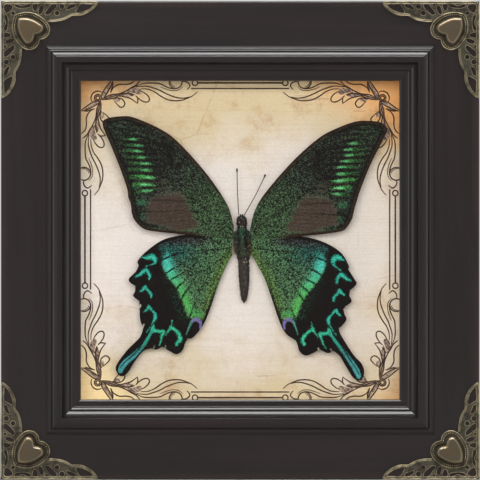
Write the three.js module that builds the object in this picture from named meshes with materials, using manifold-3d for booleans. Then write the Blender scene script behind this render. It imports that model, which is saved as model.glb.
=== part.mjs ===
// A peacock swallowtail butterfly in a square box frame: a mitred dark wood moulding with pierced brass
// corners, a glass front, spacers, a printed card that carries the specimen, and a back board held by
// framer's points. Millimetres. +Z is up and the glass faces -Y. The origin is under the middle of the
// frame, on what it stands on.

import * as THREE from "three";
import { mergeVertices } from "three/addons/utils/BufferGeometryUtils.js";
import Module from "manifold-3d";

const wasm = await Module();
wasm.setup();

// Driving dimensions. A depth is measured forward from the wood's back face.
const FRAME = 180; // outside width and height
const RAIL = 30; // width of the moulding
const WALL = 25.5; // outer edge to the rabbet
const FACE = 25; // depth of the flat outer band
const CREST = 28; // depth of the ridge
const SIGHT = 23.9; // depth of the flat lip round the opening
const SEAT = 21; // depth of the rabbet's seat, behind the lip
const MITRE_GAP = 0.08;
const GAP = 0.3; // between pieces that touch

const GLASS = 2;
const SPACER = 10.5;
const SPACER_WIDTH = 3.2;
const CARD = 0.8;
const BOARD = 3;
const POINT = 0.6; // thickness of a framer's point
const INSERT = FRAME - 2 * (WALL + GAP);

const GLASS_BACK = SEAT - GAP - GLASS;
const SPACER_BACK = GLASS_BACK - GAP - SPACER;
const CARD_BACK = SPACER_BACK - GAP - CARD;
const BOARD_BACK = CARD_BACK - GAP - BOARD;
const POINT_BACK = BOARD_BACK - GAP - POINT;

const HEART_TOP = 3.3; // heart boss above the wood's face
const HANGER_BACK = 2.6; // hanger's raised middle behind the wood
const MIDDLE = (FACE + HEART_TOP - HANGER_BACK) / 2; // depth that lies at Y = 0

function finish(color, roughness, metalness = 0) {
  return new THREE.MeshStandardMaterial({ color, roughness, metalness });
}

const FINISH = {
  wood: finish(0x2b2423, 0.35),
  brass: finish(0x7d7459, 0.45, 0.9),
  glass: finish(0xe8f4f0, 0.02),
  spacer: finish(0xe6dcc8, 0.9),
  card: finish(0xdccbab, 0.85),
  board: finish(0x8a6844, 0.8),
  steel: finish(0xb8b6ae, 0.4, 1),
  body: finish(0x2a2622, 0.8),
  forewing: finish(0x24352a, 0.55),
  hindwing: finish(0x1c4a3c, 0.5),
};
FINISH.glass.transparent = true;
FINISH.glass.opacity = 0.15;

const specimen = new THREE.Group();
specimen.position.z = FRAME / 2; // everything below is placed from the middle of the frame

// Y of a plane that lies a depth forward of the wood's back face.
const atDepth = (depth) => MIDDLE - depth;

function addPiece(name, geometry, material) {
  const mesh = new THREE.Mesh(geometry, material);
  mesh.name = name;
  specimen.add(mesh);
  return mesh;
}

function toSolid(geometry) {
  geometry.deleteAttribute("normal");
  geometry.deleteAttribute("uv");
  const merged = mergeVertices(geometry, 1e-4);
  return new wasm.Manifold(
    new wasm.Mesh({
      numProp: 3,
      vertProperties: new Float32Array(merged.attributes.position.array),
      triVerts: new Uint32Array(merged.index.array),
    }),
  );
}

function toGeometry(solid) {
  const { vertProperties, triVerts, numProp } = solid.getMesh();
  const points = [];
  for (let i = 0; i < vertProperties.length; i += numProp) {
    points.push(vertProperties[i], vertProperties[i + 1], vertProperties[i + 2]);
  }
  const geometry = new THREE.BufferGeometry();
  geometry.setAttribute("position", new THREE.Float32BufferAttribute(points, 3));
  geometry.setIndex([...triVerts]);
  return geometry;
}

function extruded(shape, depth, curveSegments = 8) {
  return new THREE.ExtrudeGeometry(shape, { depth, curveSegments, bevelEnabled: false });
}

// A box from its size, and the place of its middle.
function block(size, middle) {
  return new THREE.BoxGeometry(...size).translate(...middle);
}

// A flat sheet in the plane of the frame, from one depth to another.
function sheet(width, height, back, thickness, x = 0, z = 0) {
  return block([width, thickness, height], [x, atDepth(back + thickness / 2), z]);
}

// --- The moulding --------------------------------------------------------------------------------

// Section of a rail: x runs in from the outer edge, y forward from the back.
function mouldingSection() {
  const arris = 0.8;
  const section = new THREE.Shape();
  section.moveTo(0, 0);
  section.lineTo(WALL, 0);
  section.lineTo(WALL, SEAT);
  section.lineTo(RAIL, SEAT);
  section.lineTo(RAIL, SIGHT - arris);
  section.quadraticCurveTo(RAIL, SIGHT, RAIL - arris, SIGHT);
  section.lineTo(27.4, SIGHT);
  section.absarc(26.8, SIGHT, 0.6, 0, Math.PI, false); // bead
  section.lineTo(25.9, SIGHT + 0.1);
  section.quadraticCurveTo(23.9, 24.4, 23.4, 26.3); // hollow
  section.quadraticCurveTo(23, CREST, 21.8, CREST);
  section.lineTo(21.3, CREST);
  section.quadraticCurveTo(20.4, CREST, 20.2, 27.1); // outer shoulder of the ridge
  section.lineTo(19.6, 25.9);
  section.lineTo(19.3, 25.4);
  section.lineTo(18.9, 25.7);
  section.lineTo(18.1, 25.7);
  section.quadraticCurveTo(17.4, 25.7, 17.3, FACE); // small step at the band
  section.lineTo(arris, FACE);
  section.quadraticCurveTo(0, FACE, 0, FACE - arris);
  return section;
}

// The bottom rail, its ends cut at 45 degrees. The others are this one turned about the frame's middle.
function bottomRail() {
  const rail = extruded(mouldingSection(), FRAME, 6);
  const setBack = MITRE_GAP * Math.SQRT1_2;
  const position = rail.attributes.position;
  for (let i = 0; i < position.count; i += 1) {
    const cut = position.getX(i) + setBack;
    position.setZ(i, position.getZ(i) < FRAME / 2 ? cut : FRAME - cut);
  }
  const basis = new THREE.Matrix4().makeBasis(
    new THREE.Vector3(0, 0, 1),
    new THREE.Vector3(0, -1, 0),
    new THREE.Vector3(1, 0, 0),
  );
  return rail.applyMatrix4(basis).translate(-FRAME / 2, MIDDLE, -FRAME / 2);
}

// --- Framer's points: thin steel tabs, driven into the rabbet's wall behind the board ------------

const POINT_PLACES = [-34, 34]; // along each rail
const POINT_WIDTH = 5.2;
const POINT_BITE = 5.5; // how deep the sharp end goes into the wood
const POINT_REACH = 8; // how far the tongue reaches over the board

function framersPoint(place) {
  const half = POINT_WIDTH / 2;
  const shoulder = 2.2 - POINT_BITE; // where the sharp end starts
  const outline = new THREE.Shape();
  outline.moveTo(place, -POINT_BITE);
  outline.lineTo(place + half, shoulder);
  outline.lineTo(place + half, POINT_REACH - half);
  outline.absarc(place, POINT_REACH - half, half, 0, Math.PI, false);
  outline.lineTo(place - half, shoulder);
  return extruded(outline, POINT)
    .rotateX(Math.PI / 2)
    .translate(0, atDepth(POINT_BACK), WALL - FRAME / 2);
}

function pointSlot(place) {
  const open = 1; // how far it runs out into the rabbet
  const deep = POINT_BITE + GAP + open;
  const middle = WALL - FRAME / 2 + open - deep / 2;
  return block(
    [POINT_WIDTH + 2 * GAP, POINT + 2 * GAP, deep],
    [place, atDepth(POINT_BACK + POINT / 2), middle],
  );
}

// --- Sawtooth hanger and its nails, on the back of the top rail ----------------------------------

const HANGER_Z = FRAME / 2 - 13;
const HANGER_HALF = 22.5;
const HANGER_HEIGHT = 9;
const HANGER_THICK = 0.8;
const NAIL_X = 19.3;
const NAIL_LENGTH = 10;
const NAIL_RADIUS = 0.7;
const NAIL_HEAD = 1.9;

// Strip seen from above: flat ends on the wood and a middle that stands off it, to let a wall nail behind.
function hangerStrip() {
  const back = MIDDLE + GAP;
  const lift = HANGER_BACK - GAP - HANGER_THICK;
  const bend = [14, 16]; // the strip rises between these distances from its middle
  const run = [
    [-HANGER_HALF, 0], [-bend[1], 0], [-bend[0], lift], [bend[0], lift], [bend[1], 0], [HANGER_HALF, 0],
  ];
  const inner = run.map(([x, y]) => new THREE.Vector2(x, back + y));
  const outer = run.map(([x, y]) => new THREE.Vector2(x, back + y + HANGER_THICK)).reverse();
  return extruded(new THREE.Shape([...inner, ...outer]), HANGER_HEIGHT)
    .translate(0, 0, HANGER_Z - HANGER_HEIGHT / 2);
}

// Strip seen from behind: rounded ends and a row of teeth along the lower edge.
function hangerOutline() {
  const half = HANGER_HEIGHT / 2;
  const end = HANGER_HALF - half;
  const teeth = 11;
  const pitch = 2.2;
  const toothDepth = 1.5;
  const start = (-teeth / 2) * pitch;
  const outline = new THREE.Shape();
  outline.absarc(end, 0, half, -Math.PI / 2, Math.PI / 2, false);
  outline.absarc(-end, 0, half, Math.PI / 2, 1.5 * Math.PI, false);
  for (let i = 0; i < teeth; i += 1) {
    outline.lineTo(start + i * pitch, -half);
    outline.lineTo(start + (i + 0.5) * pitch, toothDepth - half);
  }
  outline.lineTo(-start, -half);
  const deep = 10; // more than the strip, which it trims
  const behind = 8; // how much of that lies behind the wood
  return extruded(outline, deep).rotateX(Math.PI / 2).translate(0, MIDDLE + behind, HANGER_Z);
}

// Hole for a nail, from behind the wood to a depth inside it.
function nailHole(x, behind, inside) {
  const radius = NAIL_RADIUS + GAP;
  const length = behind + inside;
  return new THREE.CylinderGeometry(radius, radius, length, 16)
    .translate(x, MIDDLE + behind - length / 2, HANGER_Z);
}

function hanger() {
  let strip = toSolid(hangerStrip()).intersect(toSolid(hangerOutline()));
  for (const x of [-NAIL_X, NAIL_X]) {
    strip = strip.subtract(toSolid(nailHole(x, HANGER_BACK, 1)));
  }
  return toGeometry(strip);
}

function hangerNail(x) {
  const under = GAP + HANGER_THICK + GAP; // wood to the underside of the head
  const tip = under - NAIL_LENGTH;
  const point = 1.6;
  const crown = 0.7; // thickness of the domed head
  const profile = [
    [0, tip],
    [NAIL_RADIUS, tip + point],
    [NAIL_RADIUS, under],
    [NAIL_HEAD, under],
    [0.8 * NAIL_HEAD, under + 0.7 * crown],
    [0, under + crown],
  ];
  const points = profile.map(([r, y]) => new THREE.Vector2(r, y));
  return new THREE.LatheGeometry(points, 16).translate(x, MIDDLE, HANGER_Z);
}

// --- Brass corners -------------------------------------------------------------------------------

const PLATE = 0.9;
const RIM_INSET = 0.35; // plate's edge inside the wood's edge
const ARM = 37; // length of an arm, from the outer corner
const FORK = [12, 12]; // where the arms meet, under the heart

// Inner edge of one arm, from its tip to the heart: along the arm, then across it, from the outer corner.
const ARM_EDGE = [
  [ARM, 0.6], [36.5, 1.9], [35, 3.6], [32.9, 5], [30.4, 5.9], [27.1, 6], [25.2, 7.2], [23.1, 8.1],
  [20.7, 8.4], [18.4, 8.4],
];
// Half of each heart's outline, from the tip by the outer corner to the notch on the diagonal.
const RING_HALF = [
  [5.7, 5.7], [7.5, 4.9], [10.5, 4.55], [13.5, 5.2], [16.2, 6.8], [18.1, 8.7], [18.9, 10.9], [18.3, 13.2],
  [16.7, 14.6], [15.05, 15.05],
];
const HEART_HALF = [
  [6.9, 6.9], [8.3, 6.6], [10.2, 6.6], [12.4, 7.2], [14.7, 8.4], [16.3, 9.7], [16.5, 11], [15.7, 12.3],
  [14.3, 12.9], [13.1, 13.1],
];
// Piercings of one arm: middle, half-axes and turn in degrees.
const PIERCINGS = [
  [13.2, 2.8, 0.9, 1.4, 8], [15.5, 3.6, 0.75, 1.7, 15], [17.6, 2, 0.55, 0.55, 0], [19.2, 3.5, 0.85, 2.3, 45],
  [21.5, 5, 0.85, 0.85, 0], [23.3, 2.2, 0.8, 0.9, 0], [26.9, 2.7, 1.9, 0.8, -25], [31.4, 3, 3, 1.1, -20],
  [6, 1.9, 0.8, 0.7, 0], [8, 2.6, 1.2, 0.55, 0], [10.2, 2, 0.9, 0.8, 0],
];
// Piercings on the diagonal, between the arms.
const CORNER_PIERCINGS = [[3.1, 3.1, 1.35, 1.8, -45], [4.9, 4.9, 0.65, 0.65, 0]];

const swapped = (points) => points.map(([a, b]) => [b, a]).reverse();
const symmetric = (half) => [...half, ...swapped(half).slice(1, -1)];
const toVectors = (points) => points.map(([a, b]) => new THREE.Vector2(a, b));

function raised(shape, bottom, height, bevel = 0) {
  return new THREE.ExtrudeGeometry(shape, {
    depth: height - bevel,
    bevelEnabled: bevel > 0,
    bevelThickness: bevel,
    bevelSize: bevel,
    bevelOffset: -bevel,
    bevelSegments: 3,
    curveSegments: 6,
  }).translate(0, 0, bottom);
}

function piercing([a, b, halfA, halfB, turn]) {
  const under = 1; // the cut starts this far under the plate's foot
  const outline = new THREE.Shape();
  outline.absellipse(a, b, halfA, halfB, 0, 2 * Math.PI, false, THREE.MathUtils.degToRad(turn));
  return extruded(outline, PLATE + 2 * under, 4).translate(0, 0, GAP - under);
}

function cornerPlate() {
  const edge = RIM_INSET;
  const round = 1.8;
  const arms = new THREE.Shape();
  arms.moveTo(edge + round, edge);
  arms.lineTo(ARM, edge);
  for (const [a, b] of [...ARM_EDGE, FORK, ...swapped(ARM_EDGE)]) arms.lineTo(a, b);
  arms.lineTo(edge, ARM);
  arms.lineTo(edge, edge + round);
  arms.quadraticCurveTo(edge, edge, edge + round, edge);

  const bottom = GAP;
  let plate = toSolid(raised(arms, bottom, PLATE));
  const otherArm = PIERCINGS.map(([a, b, halfA, halfB, turn]) => [b, a, halfB, halfA, -turn]);
  for (const hole of [...PIERCINGS, ...otherArm, ...CORNER_PIERCINGS]) {
    plate = plate.subtract(toSolid(piercing(hole)));
  }
  const proud = 0.4; // ring above the plate
  const ring = raised(new THREE.Shape(toVectors(symmetric(RING_HALF))), bottom, PLATE + proud);
  const heart = new THREE.Shape(toVectors(symmetric(HEART_HALF)));
  const roll = 1.2; // rounding of the boss, at its foot too
  const boss = raised(heart, bottom + roll, HEART_TOP - bottom - roll, roll);
  plate = plate.add(toSolid(ring)).add(toSolid(boss));

  const basis = new THREE.Matrix4().makeBasis(
    new THREE.Vector3(0, 0, -1),
    new THREE.Vector3(1, 0, 0),
    new THREE.Vector3(0, -1, 0),
  );
  return toGeometry(plate).applyMatrix4(basis).translate(-FRAME / 2, atDepth(FACE), FRAME / 2);
}

// --- Butterfly -----------------------------------------------------------------------------------

// Wing outlines, x and z from the frame's middle. Each row is a smooth stretch, and rows meet at sharp
// notches.
const FOREWING_LEFT = [
  [[-2.4, 5.4], [-4.8, 13.3], [-12.1, 24.4], [-22.8, 36.5], [-29.7, 41.8], [-39.3, 46.1], [-44.1, 46.9],
    [-50.6, 45.9], [-51.9, 43.4], [-48.9, 36], [-45.4, 27.3], [-43.5, 22]],
  [[-43.5, 22], [-42.6, 19.1], [-42.3, 16.3]],
  [[-42.3, 16.3], [-41.3, 13.4], [-41, 10.5]],
  [[-41, 10.5], [-39.9, 7.6], [-36.4, 4.3], [-31.6, 3.3], [-24.3, 2.5], [-15.1, 1.6], [-2.6, 0.3]],
];
const FOREWING_RIGHT = [
  [[3.7, 4.2], [5.6, 11.4], [9.8, 18.3], [20.2, 30.2], [30.1, 38.9], [37.7, 42.8], [43.9, 44.9],
    [49.2, 45.1], [53.1, 44.5], [55, 42.8], [55.2, 40.5], [50, 30.2], [46.9, 22.9], [45, 17.9]],
  [[45, 17.9], [43.3, 12.1], [42.4, 8.3]],
  [[42.4, 8.3], [40.4, 4.9], [37.7, 3.3], [30.1, 2.2], [18.8, 1.2], [4, 0.3]],
];
const HINDWING_LEFT = [
  [[-3, 0.4], [-15.1, 1.7], [-24.1, 1.4], [-29.9, -0.2], [-35.7, -4.4], [-38.7, -7.8], [-38.3, -9.4]],
  [[-38.3, -9.4], [-39.5, -11.9], [-42.2, -15], [-39.7, -17.3]],
  [[-39.7, -17.3], [-39.7, -19.2], [-40.4, -21.1], [-38.1, -23]],
  [[-38.1, -23], [-37.8, -30], [-36.6, -32.7]],
  [[-36.6, -32.7], [-37.8, -36.5], [-42.4, -41.2], [-46.2, -46.2], [-47, -48.8], [-45.4, -51.3],
    [-42.8, -50.4], [-39.7, -45.7], [-36.6, -41.9], [-33.6, -40.8]],
  [[-33.6, -40.8], [-31.6, -41.3], [-29.4, -40.2]],
  [[-29.4, -40.2], [-26.7, -41.9], [-24, -43.1], [-21.7, -41.5], [-20.8, -38.9], [-19.8, -37.1]],
  [[-19.8, -37.1], [-17.5, -36.5], [-12.9, -30], [-7.9, -15.9], [-5.2, -9.7], [-2.9, -5.5]],
];
const HINDWING_RIGHT = [
  [[4.3, 0.4], [18.8, 1.3], [30.1, -0.1], [37.7, -4.3], [41, -9.4], [40.8, -10.9]],
  [[40.8, -10.9], [42.7, -13.9], [44, -16.5], [41.6, -18.9]],
  [[41.6, -18.9], [41.3, -20.9], [42.1, -23.2], [39.6, -25.1]],
  [[39.6, -25.1], [39.3, -27.4], [40.2, -30], [38.1, -32.7]],
  [[38.1, -32.7], [37.7, -35], [42.7, -43.1], [45.8, -46.5], [46.9, -49.6], [46.2, -52.3], [45, -53],
    [42.7, -51.9], [40, -47.7], [37.7, -43.8], [35.1, -41.7]],
  [[35.1, -41.7], [33.1, -42.7], [30.1, -41.2]],
  [[30.1, -41.2], [27.4, -42.7], [24.7, -43.6], [22.4, -41.9], [21.3, -38.4], [19.4, -36.9]],
  [[19.4, -36.9], [17.1, -35], [14.6, -30], [9.8, -15.9], [6.7, -9.7], [4.2, -5.2]],
];

const WING_THICK = 0.4;
const BODY_DEPTH = 11.4; // depth of the body's axis
const BODY_X = 0.65;
const BODY_LEAN = THREE.MathUtils.degToRad(-2);
const FOREWING_BACK = 12.9;
const HINDWING_BACK = 12.1;
const WING_LIFT = THREE.MathUtils.degToRad(2); // tips stand a little forward of the roots

function smoothOutline(rows) {
  const points = rows.flatMap((row) => {
    const curve = new THREE.SplineCurve(toVectors(row));
    return curve.getPoints(3 * (row.length - 1)).slice(0, -1);
  });
  const [x, z] = rows.at(-1).at(-1);
  return new THREE.Shape([...points, new THREE.Vector2(x, z)]);
}

function wing(rows, back, side) {
  return extruded(smoothOutline(rows), WING_THICK)
    .rotateX(Math.PI / 2)
    .rotateZ(-side * WING_LIFT)
    .translate(0, atDepth(back), 0);
}

// Head, thorax and abdomen: radius, then height from the frame's middle, on an axis that leans a little.
function body() {
  const profile = [
    [0, -23.7], [0.8, -23.2], [1.3, -21.6], [1.6, -18.7], [2, -11.2], [1.9, -7.4], [2.5, -5.2], [3.1, -2],
    [3.25, 0.4], [2.9, 3], [1.9, 5], [2, 6.6], [1.9, 8], [1.2, 9.2], [0, 9.7],
  ];
  const points = profile.map(([r, z]) => new THREE.Vector2(r, z));
  return new THREE.LatheGeometry(points, 20)
    .rotateX(Math.PI / 2)
    .rotateY(BODY_LEAN)
    .translate(BODY_X, atDepth(BODY_DEPTH), 0);
}

// A thin stalk with a small club, from its root to its tip.
function antenna(root, tip) {
  const start = new THREE.Vector3(root[0], atDepth(root[1]), root[2]);
  const along = new THREE.Vector3(tip[0], atDepth(tip[1]), tip[2]).sub(start);
  const length = along.length();
  const stalk = 0.2;
  const club = 0.38;
  const profile = [[0, 0], [stalk, 0], [stalk, length - 4], [club, length - 1], [0, length]];
  const points = profile.map(([r, y]) => new THREE.Vector2(r, y));
  const turn = new THREE.Quaternion().setFromUnitVectors(new THREE.Vector3(0, 1, 0), along.normalize());
  return new THREE.LatheGeometry(points, 8).applyQuaternion(turn).translate(start.x, start.y, start.z);
}

// --- Assembly ------------------------------------------------------------------------------------

const SIDES = ["bottom", "left", "top", "right"]; // each a quarter turn from the one before
const CORNERS = ["top_left", "top_right", "bottom_right", "bottom_left"];

SIDES.forEach((side, turn) => {
  const quarter = (turn * Math.PI) / 2;
  let rail = toSolid(bottomRail().rotateY(quarter));
  POINT_PLACES.forEach((place, i) => {
    rail = rail.subtract(toSolid(pointSlot(place).rotateY(quarter)));
    addPiece(`framers_point_${side}_${i + 1}`, framersPoint(place).rotateY(quarter), FINISH.steel);
  });
  if (side === "top") {
    for (const x of [-NAIL_X, NAIL_X]) {
      rail = rail.subtract(toSolid(nailHole(x, 1, NAIL_LENGTH)));
    }
  }
  addPiece(`rail_${side}`, toGeometry(rail), FINISH.wood);
});

const plate = cornerPlate();
CORNERS.forEach((corner, turn) => {
  addPiece(`corner_${corner}`, plate.clone().rotateY((-turn * Math.PI) / 2), FINISH.brass);
});

addPiece("glass_pane", sheet(INSERT, INSERT, GLASS_BACK, GLASS), FINISH.glass);
const stripAt = (INSERT - SPACER_WIDTH) / 2;
const shortStrip = INSERT - 2 * (SPACER_WIDTH + GAP);
addPiece("spacer_top", sheet(INSERT, SPACER_WIDTH, SPACER_BACK, SPACER, 0, stripAt), FINISH.spacer);
addPiece("spacer_bottom", sheet(INSERT, SPACER_WIDTH, SPACER_BACK, SPACER, 0, -stripAt), FINISH.spacer);
addPiece("spacer_left", sheet(SPACER_WIDTH, shortStrip, SPACER_BACK, SPACER, -stripAt), FINISH.spacer);
addPiece("spacer_right", sheet(SPACER_WIDTH, shortStrip, SPACER_BACK, SPACER, stripAt), FINISH.spacer);
addPiece("backing_card", sheet(INSERT, INSERT, CARD_BACK, CARD), FINISH.card);
addPiece("back_board", sheet(INSERT, INSERT, BOARD_BACK, BOARD), FINISH.board);

addPiece("sawtooth_hanger", hanger(), FINISH.steel);
addPiece("hanger_nail_left", hangerNail(-NAIL_X), FINISH.steel);
addPiece("hanger_nail_right", hangerNail(NAIL_X), FINISH.steel);

addPiece("butterfly_body", body(), FINISH.body);
addPiece("forewing_left", wing(FOREWING_LEFT, FOREWING_BACK, -1), FINISH.forewing);
addPiece("forewing_right", wing(FOREWING_RIGHT, FOREWING_BACK, 1), FINISH.forewing);
addPiece("hindwing_left", wing(HINDWING_LEFT, HINDWING_BACK, -1), FINISH.hindwing);
addPiece("hindwing_right", wing(HINDWING_RIGHT, HINDWING_BACK, 1), FINISH.hindwing);
addPiece("antenna_left", antenna([-0.5, 11.6, 10.1], [-1.2, 12.4, 27.2]), FINISH.body);
addPiece("antenna_right", antenna([1.6, 11.6, 9.9], [9.6, 12.4, 24.9]), FINISH.body);

export default specimen;
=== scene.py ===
import math
import random

import bmesh
import bpy
import numpy as np
from mathutils import Matrix, Vector


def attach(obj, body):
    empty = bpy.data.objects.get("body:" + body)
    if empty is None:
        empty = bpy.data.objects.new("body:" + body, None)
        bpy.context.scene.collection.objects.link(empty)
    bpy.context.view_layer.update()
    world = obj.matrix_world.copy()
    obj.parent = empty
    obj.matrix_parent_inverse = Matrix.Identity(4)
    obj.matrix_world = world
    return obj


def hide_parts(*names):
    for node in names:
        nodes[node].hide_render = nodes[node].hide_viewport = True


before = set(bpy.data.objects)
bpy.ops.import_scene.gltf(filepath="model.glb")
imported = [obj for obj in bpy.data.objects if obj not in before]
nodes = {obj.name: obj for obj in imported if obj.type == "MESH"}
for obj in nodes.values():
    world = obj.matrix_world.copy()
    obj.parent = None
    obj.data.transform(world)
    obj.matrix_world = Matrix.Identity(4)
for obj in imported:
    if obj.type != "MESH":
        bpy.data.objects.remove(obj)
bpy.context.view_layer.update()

mm = 0.001
middleZ = 90.0      # height of the frame's middle, mm
woodBack = 12.85    # Y of the wood's back face, mm
half = 90.0         # half of the frame's width, mm


def at(x, depth, z):  # x and z from the frame's middle, depth forward of the wood's back, in mm
    return Vector((x, woodBack - depth, middleZ + z)) * mm


# camera, lamps and stage

studio = {
    "lens": 500.0,          # mm, on a 36 mm sensor
    "viewWidth": 0.18064,   # what the camera sees across, at the face of the wood
    "aim": (-0.056, 25.0, 0.094),  # mm, a hair off the middle of the face
    "worldSeen": 0.62,      # brightness of the background
    "worldLight": 0.06,     # how much of it lights the object
    "floorSize": 2.0,
}

lamps = {                    # place, width, height, watts, what it lights
    "key_left": ((-0.36, -2.2, 0.38), 1.1, 0.9, 33.0, "matt"),
    "key_right": ((0.4, -2.2, 0.36), 1.1, 0.9, 24.0, "matt"),
    "top_strip": ((0.0, -0.72, 1.45), 1.8, 0.35, 33.0, "gloss"),
    "left_soft": ((-1.45, -0.85, 0.5), 0.35, 1.2, 2.2, "both"),
    "right_soft": ((1.5, -0.8, 0.35), 0.35, 1.2, 2.2, "both"),
    "back_fill": ((0.5, 1.7, 1.1), 1.4, 1.0, 16.0, "both"),
}


def makeCamera():
    data = bpy.data.cameras.new("camera")
    data.lens = studio["lens"]
    data.sensor_width = 36.0
    data.clip_end = 50
    camera = bpy.data.objects.new("camera", data)
    bpy.context.scene.collection.objects.link(camera)
    distance = studio["viewWidth"] * studio["lens"] / data.sensor_width
    camera.location = at(*studio["aim"]) + Vector((0, -distance, 0))
    camera.rotation_euler = (math.radians(90), 0, 0)
    bpy.context.scene.camera = camera
    bpy.context.scene.view_settings.view_transform = "Standard"


def makeLamps():
    for name, (place, width, height, watts, lights) in lamps.items():
        data = bpy.data.lights.new(name, "AREA")
        data.shape = "RECTANGLE"
        data.size = width
        data.size_y = height
        data.energy = watts
        lamp = bpy.data.objects.new(name, data)
        bpy.context.scene.collection.objects.link(lamp)
        lamp.location = place
        toFrame = Vector((0, 0, middleZ * mm)) - Vector(place)
        lamp.rotation_euler = toFrame.to_track_quat("-Z", "Y").to_euler()
        lamp.visible_camera = False
        lamp.visible_glossy = lights != "matt"
        lamp.visible_transmission = lights != "matt"
        lamp.visible_diffuse = lights != "gloss"


def makeWorld():
    world = bpy.data.worlds.new("studio")
    bpy.context.scene.world = world
    world.use_nodes = True
    tree = world.node_tree
    tree.nodes.clear()
    out = tree.nodes.new("ShaderNodeOutputWorld")
    seen = tree.nodes.new("ShaderNodeBackground")
    lit = tree.nodes.new("ShaderNodeBackground")
    pick = tree.nodes.new("ShaderNodeMixShader")
    path = tree.nodes.new("ShaderNodeLightPath")
    seen.inputs["Color"].default_value = (1.0, 0.985, 0.965, 1)
    seen.inputs["Strength"].default_value = studio["worldSeen"]
    lit.inputs["Color"].default_value = (0.98, 0.98, 1.0, 1)
    lit.inputs["Strength"].default_value = studio["worldLight"]
    tree.links.new(path.outputs["Is Camera Ray"], pick.inputs[0])
    tree.links.new(lit.outputs[0], pick.inputs[1])
    tree.links.new(seen.outputs[0], pick.inputs[2])
    tree.links.new(pick.outputs[0], out.inputs[0])


def makeFloor():
    bm = bmesh.new()
    bmesh.ops.create_grid(bm, x_segments=4, y_segments=4, size=studio["floorSize"] / 2)
    mesh = bpy.data.meshes.new("floor")
    bm.to_mesh(mesh)
    bm.free()
    floor = bpy.data.objects.new("floor", mesh)
    bpy.context.scene.collection.objects.link(floor)
    shader = Shader("pale_floor")
    tone = shader.ramp(shader.noise(shader.objectPlace(), 3.0), 0.3, 0.7)
    mesh.materials.append(shader.set(
        Base_Color=shader.mix(tone, (0.74, 0.73, 0.71), (0.78, 0.77, 0.75)), Roughness=0.8))


# node trees

class Shader:  # a node tree, with short ways to add nodes and join them

    def __init__(self, name, tree=None):
        if tree is None:
            self.material = bpy.data.materials.new(name)
            self.material.use_nodes = True
            tree = self.material.node_tree
            self.bsdf = tree.nodes["Principled BSDF"]
        self.tree = tree

    def node(self, kind, **settings):
        made = self.tree.nodes.new("ShaderNode" + kind)
        for key, value in settings.items():
            setattr(made, key, value)
        return made

    def feed(self, target, value):
        if isinstance(value, bpy.types.NodeSocket):
            self.tree.links.new(value, target)
        elif target.type == "RGBA":
            target.default_value = (*value[:3], 1)
        else:
            target.default_value = value

    def objectPlace(self):
        return self.node("TexCoord").outputs["Object"]

    def mapped(self, scale=(1, 1, 1), turn=(0, 0, 0), source=None):
        mapping = self.node("Mapping")
        self.feed(mapping.inputs["Vector"], source or self.objectPlace())
        mapping.inputs["Scale"].default_value = scale
        mapping.inputs["Rotation"].default_value = turn
        return mapping.outputs["Vector"]

    def noise(self, vector, scale, detail=3.0, rough=0.55, warp=0.0):
        made = self.node("TexNoise")
        self.feed(made.inputs["Vector"], vector)
        made.inputs["Scale"].default_value = scale
        made.inputs["Detail"].default_value = detail
        made.inputs["Roughness"].default_value = rough
        made.inputs["Distortion"].default_value = warp
        return made.outputs["Fac"]

    def cells(self, vector, scale, feature="F1"):
        made = self.node("TexVoronoi", feature=feature)
        self.feed(made.inputs["Vector"], vector)
        self.feed(made.inputs["Scale"], scale)
        return made

    def ramp(self, value, low, high, outLow=0.0, outHigh=1.0):
        made = self.node("MapRange", interpolation_type="SMOOTHSTEP")
        for socket, given in zip(made.inputs, (value, low, high, outLow, outHigh)):
            self.feed(socket, given)
        return made.outputs["Result"]

    def math(self, operation, a, b=0.0):
        made = self.node("Math", operation=operation)
        self.feed(made.inputs[0], a)
        self.feed(made.inputs[1], b)
        return made.outputs[0]

    def mix(self, amount, a, b, blend="MIX"):
        made = self.node("Mix", data_type="RGBA", blend_type=blend)
        colours = [socket for socket in made.inputs if socket.type == "RGBA"]
        self.feed(made.inputs[0], amount)
        self.feed(colours[0], a)
        self.feed(colours[1], b)
        return [socket for socket in made.outputs if socket.type == "RGBA"][0]

    def attribute(self, name, output="Fac"):
        return self.node("Attribute", attribute_name=name).outputs[output]

    def separate(self, vector):
        made = self.node("SeparateXYZ")
        self.feed(made.inputs[0], vector)
        return made.outputs

    def combine(self, value):
        made = self.node("CombineColor")
        for socket in made.inputs[:3]:
            self.feed(socket, value)
        return made.outputs[0]

    def bump(self, height, distance, strength=1.0):
        made = self.node("Bump")
        made.inputs["Strength"].default_value = strength
        made.inputs["Distance"].default_value = distance
        self.feed(made.inputs["Height"], height)
        return made.outputs["Normal"]

    def group(self, tree, **values):
        made = self.node("Group", node_tree=tree)
        for key, value in values.items():
            self.feed(made.inputs[key.replace("_", " ")], value)
        return made.outputs

    def set(self, **values):
        for key, value in values.items():
            self.feed(self.bsdf.inputs[key.replace("_", " ")], value)
        return self.material


def makeGroup(name, inputs, outputs, build):  # sockets by name and kind; build fills the inside
    tree = bpy.data.node_groups.new(name, "ShaderNodeTree")
    for label, (kind, value) in inputs.items():
        socket = tree.interface.new_socket(name=label, in_out="INPUT", socket_type="NodeSocket" + kind)
        if value is not None:
            socket.default_value = value
    for label, kind in outputs.items():
        tree.interface.new_socket(name=label, in_out="OUTPUT", socket_type="NodeSocket" + kind)
    given = tree.nodes.new("NodeGroupInput").outputs
    result = tree.nodes.new("NodeGroupOutput").inputs
    inside = Shader(name, tree)
    for label, value in build(inside, given).items():
        inside.feed(result[label], value)
    return tree


def srgb(red, green, blue):  # 0 to 255, to linear
    return tuple(c / 255 / 12.92 if c < 10.3 else ((c / 255 + 0.055) / 1.055) ** 2.4
                 for c in (red, green, blue))


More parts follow.
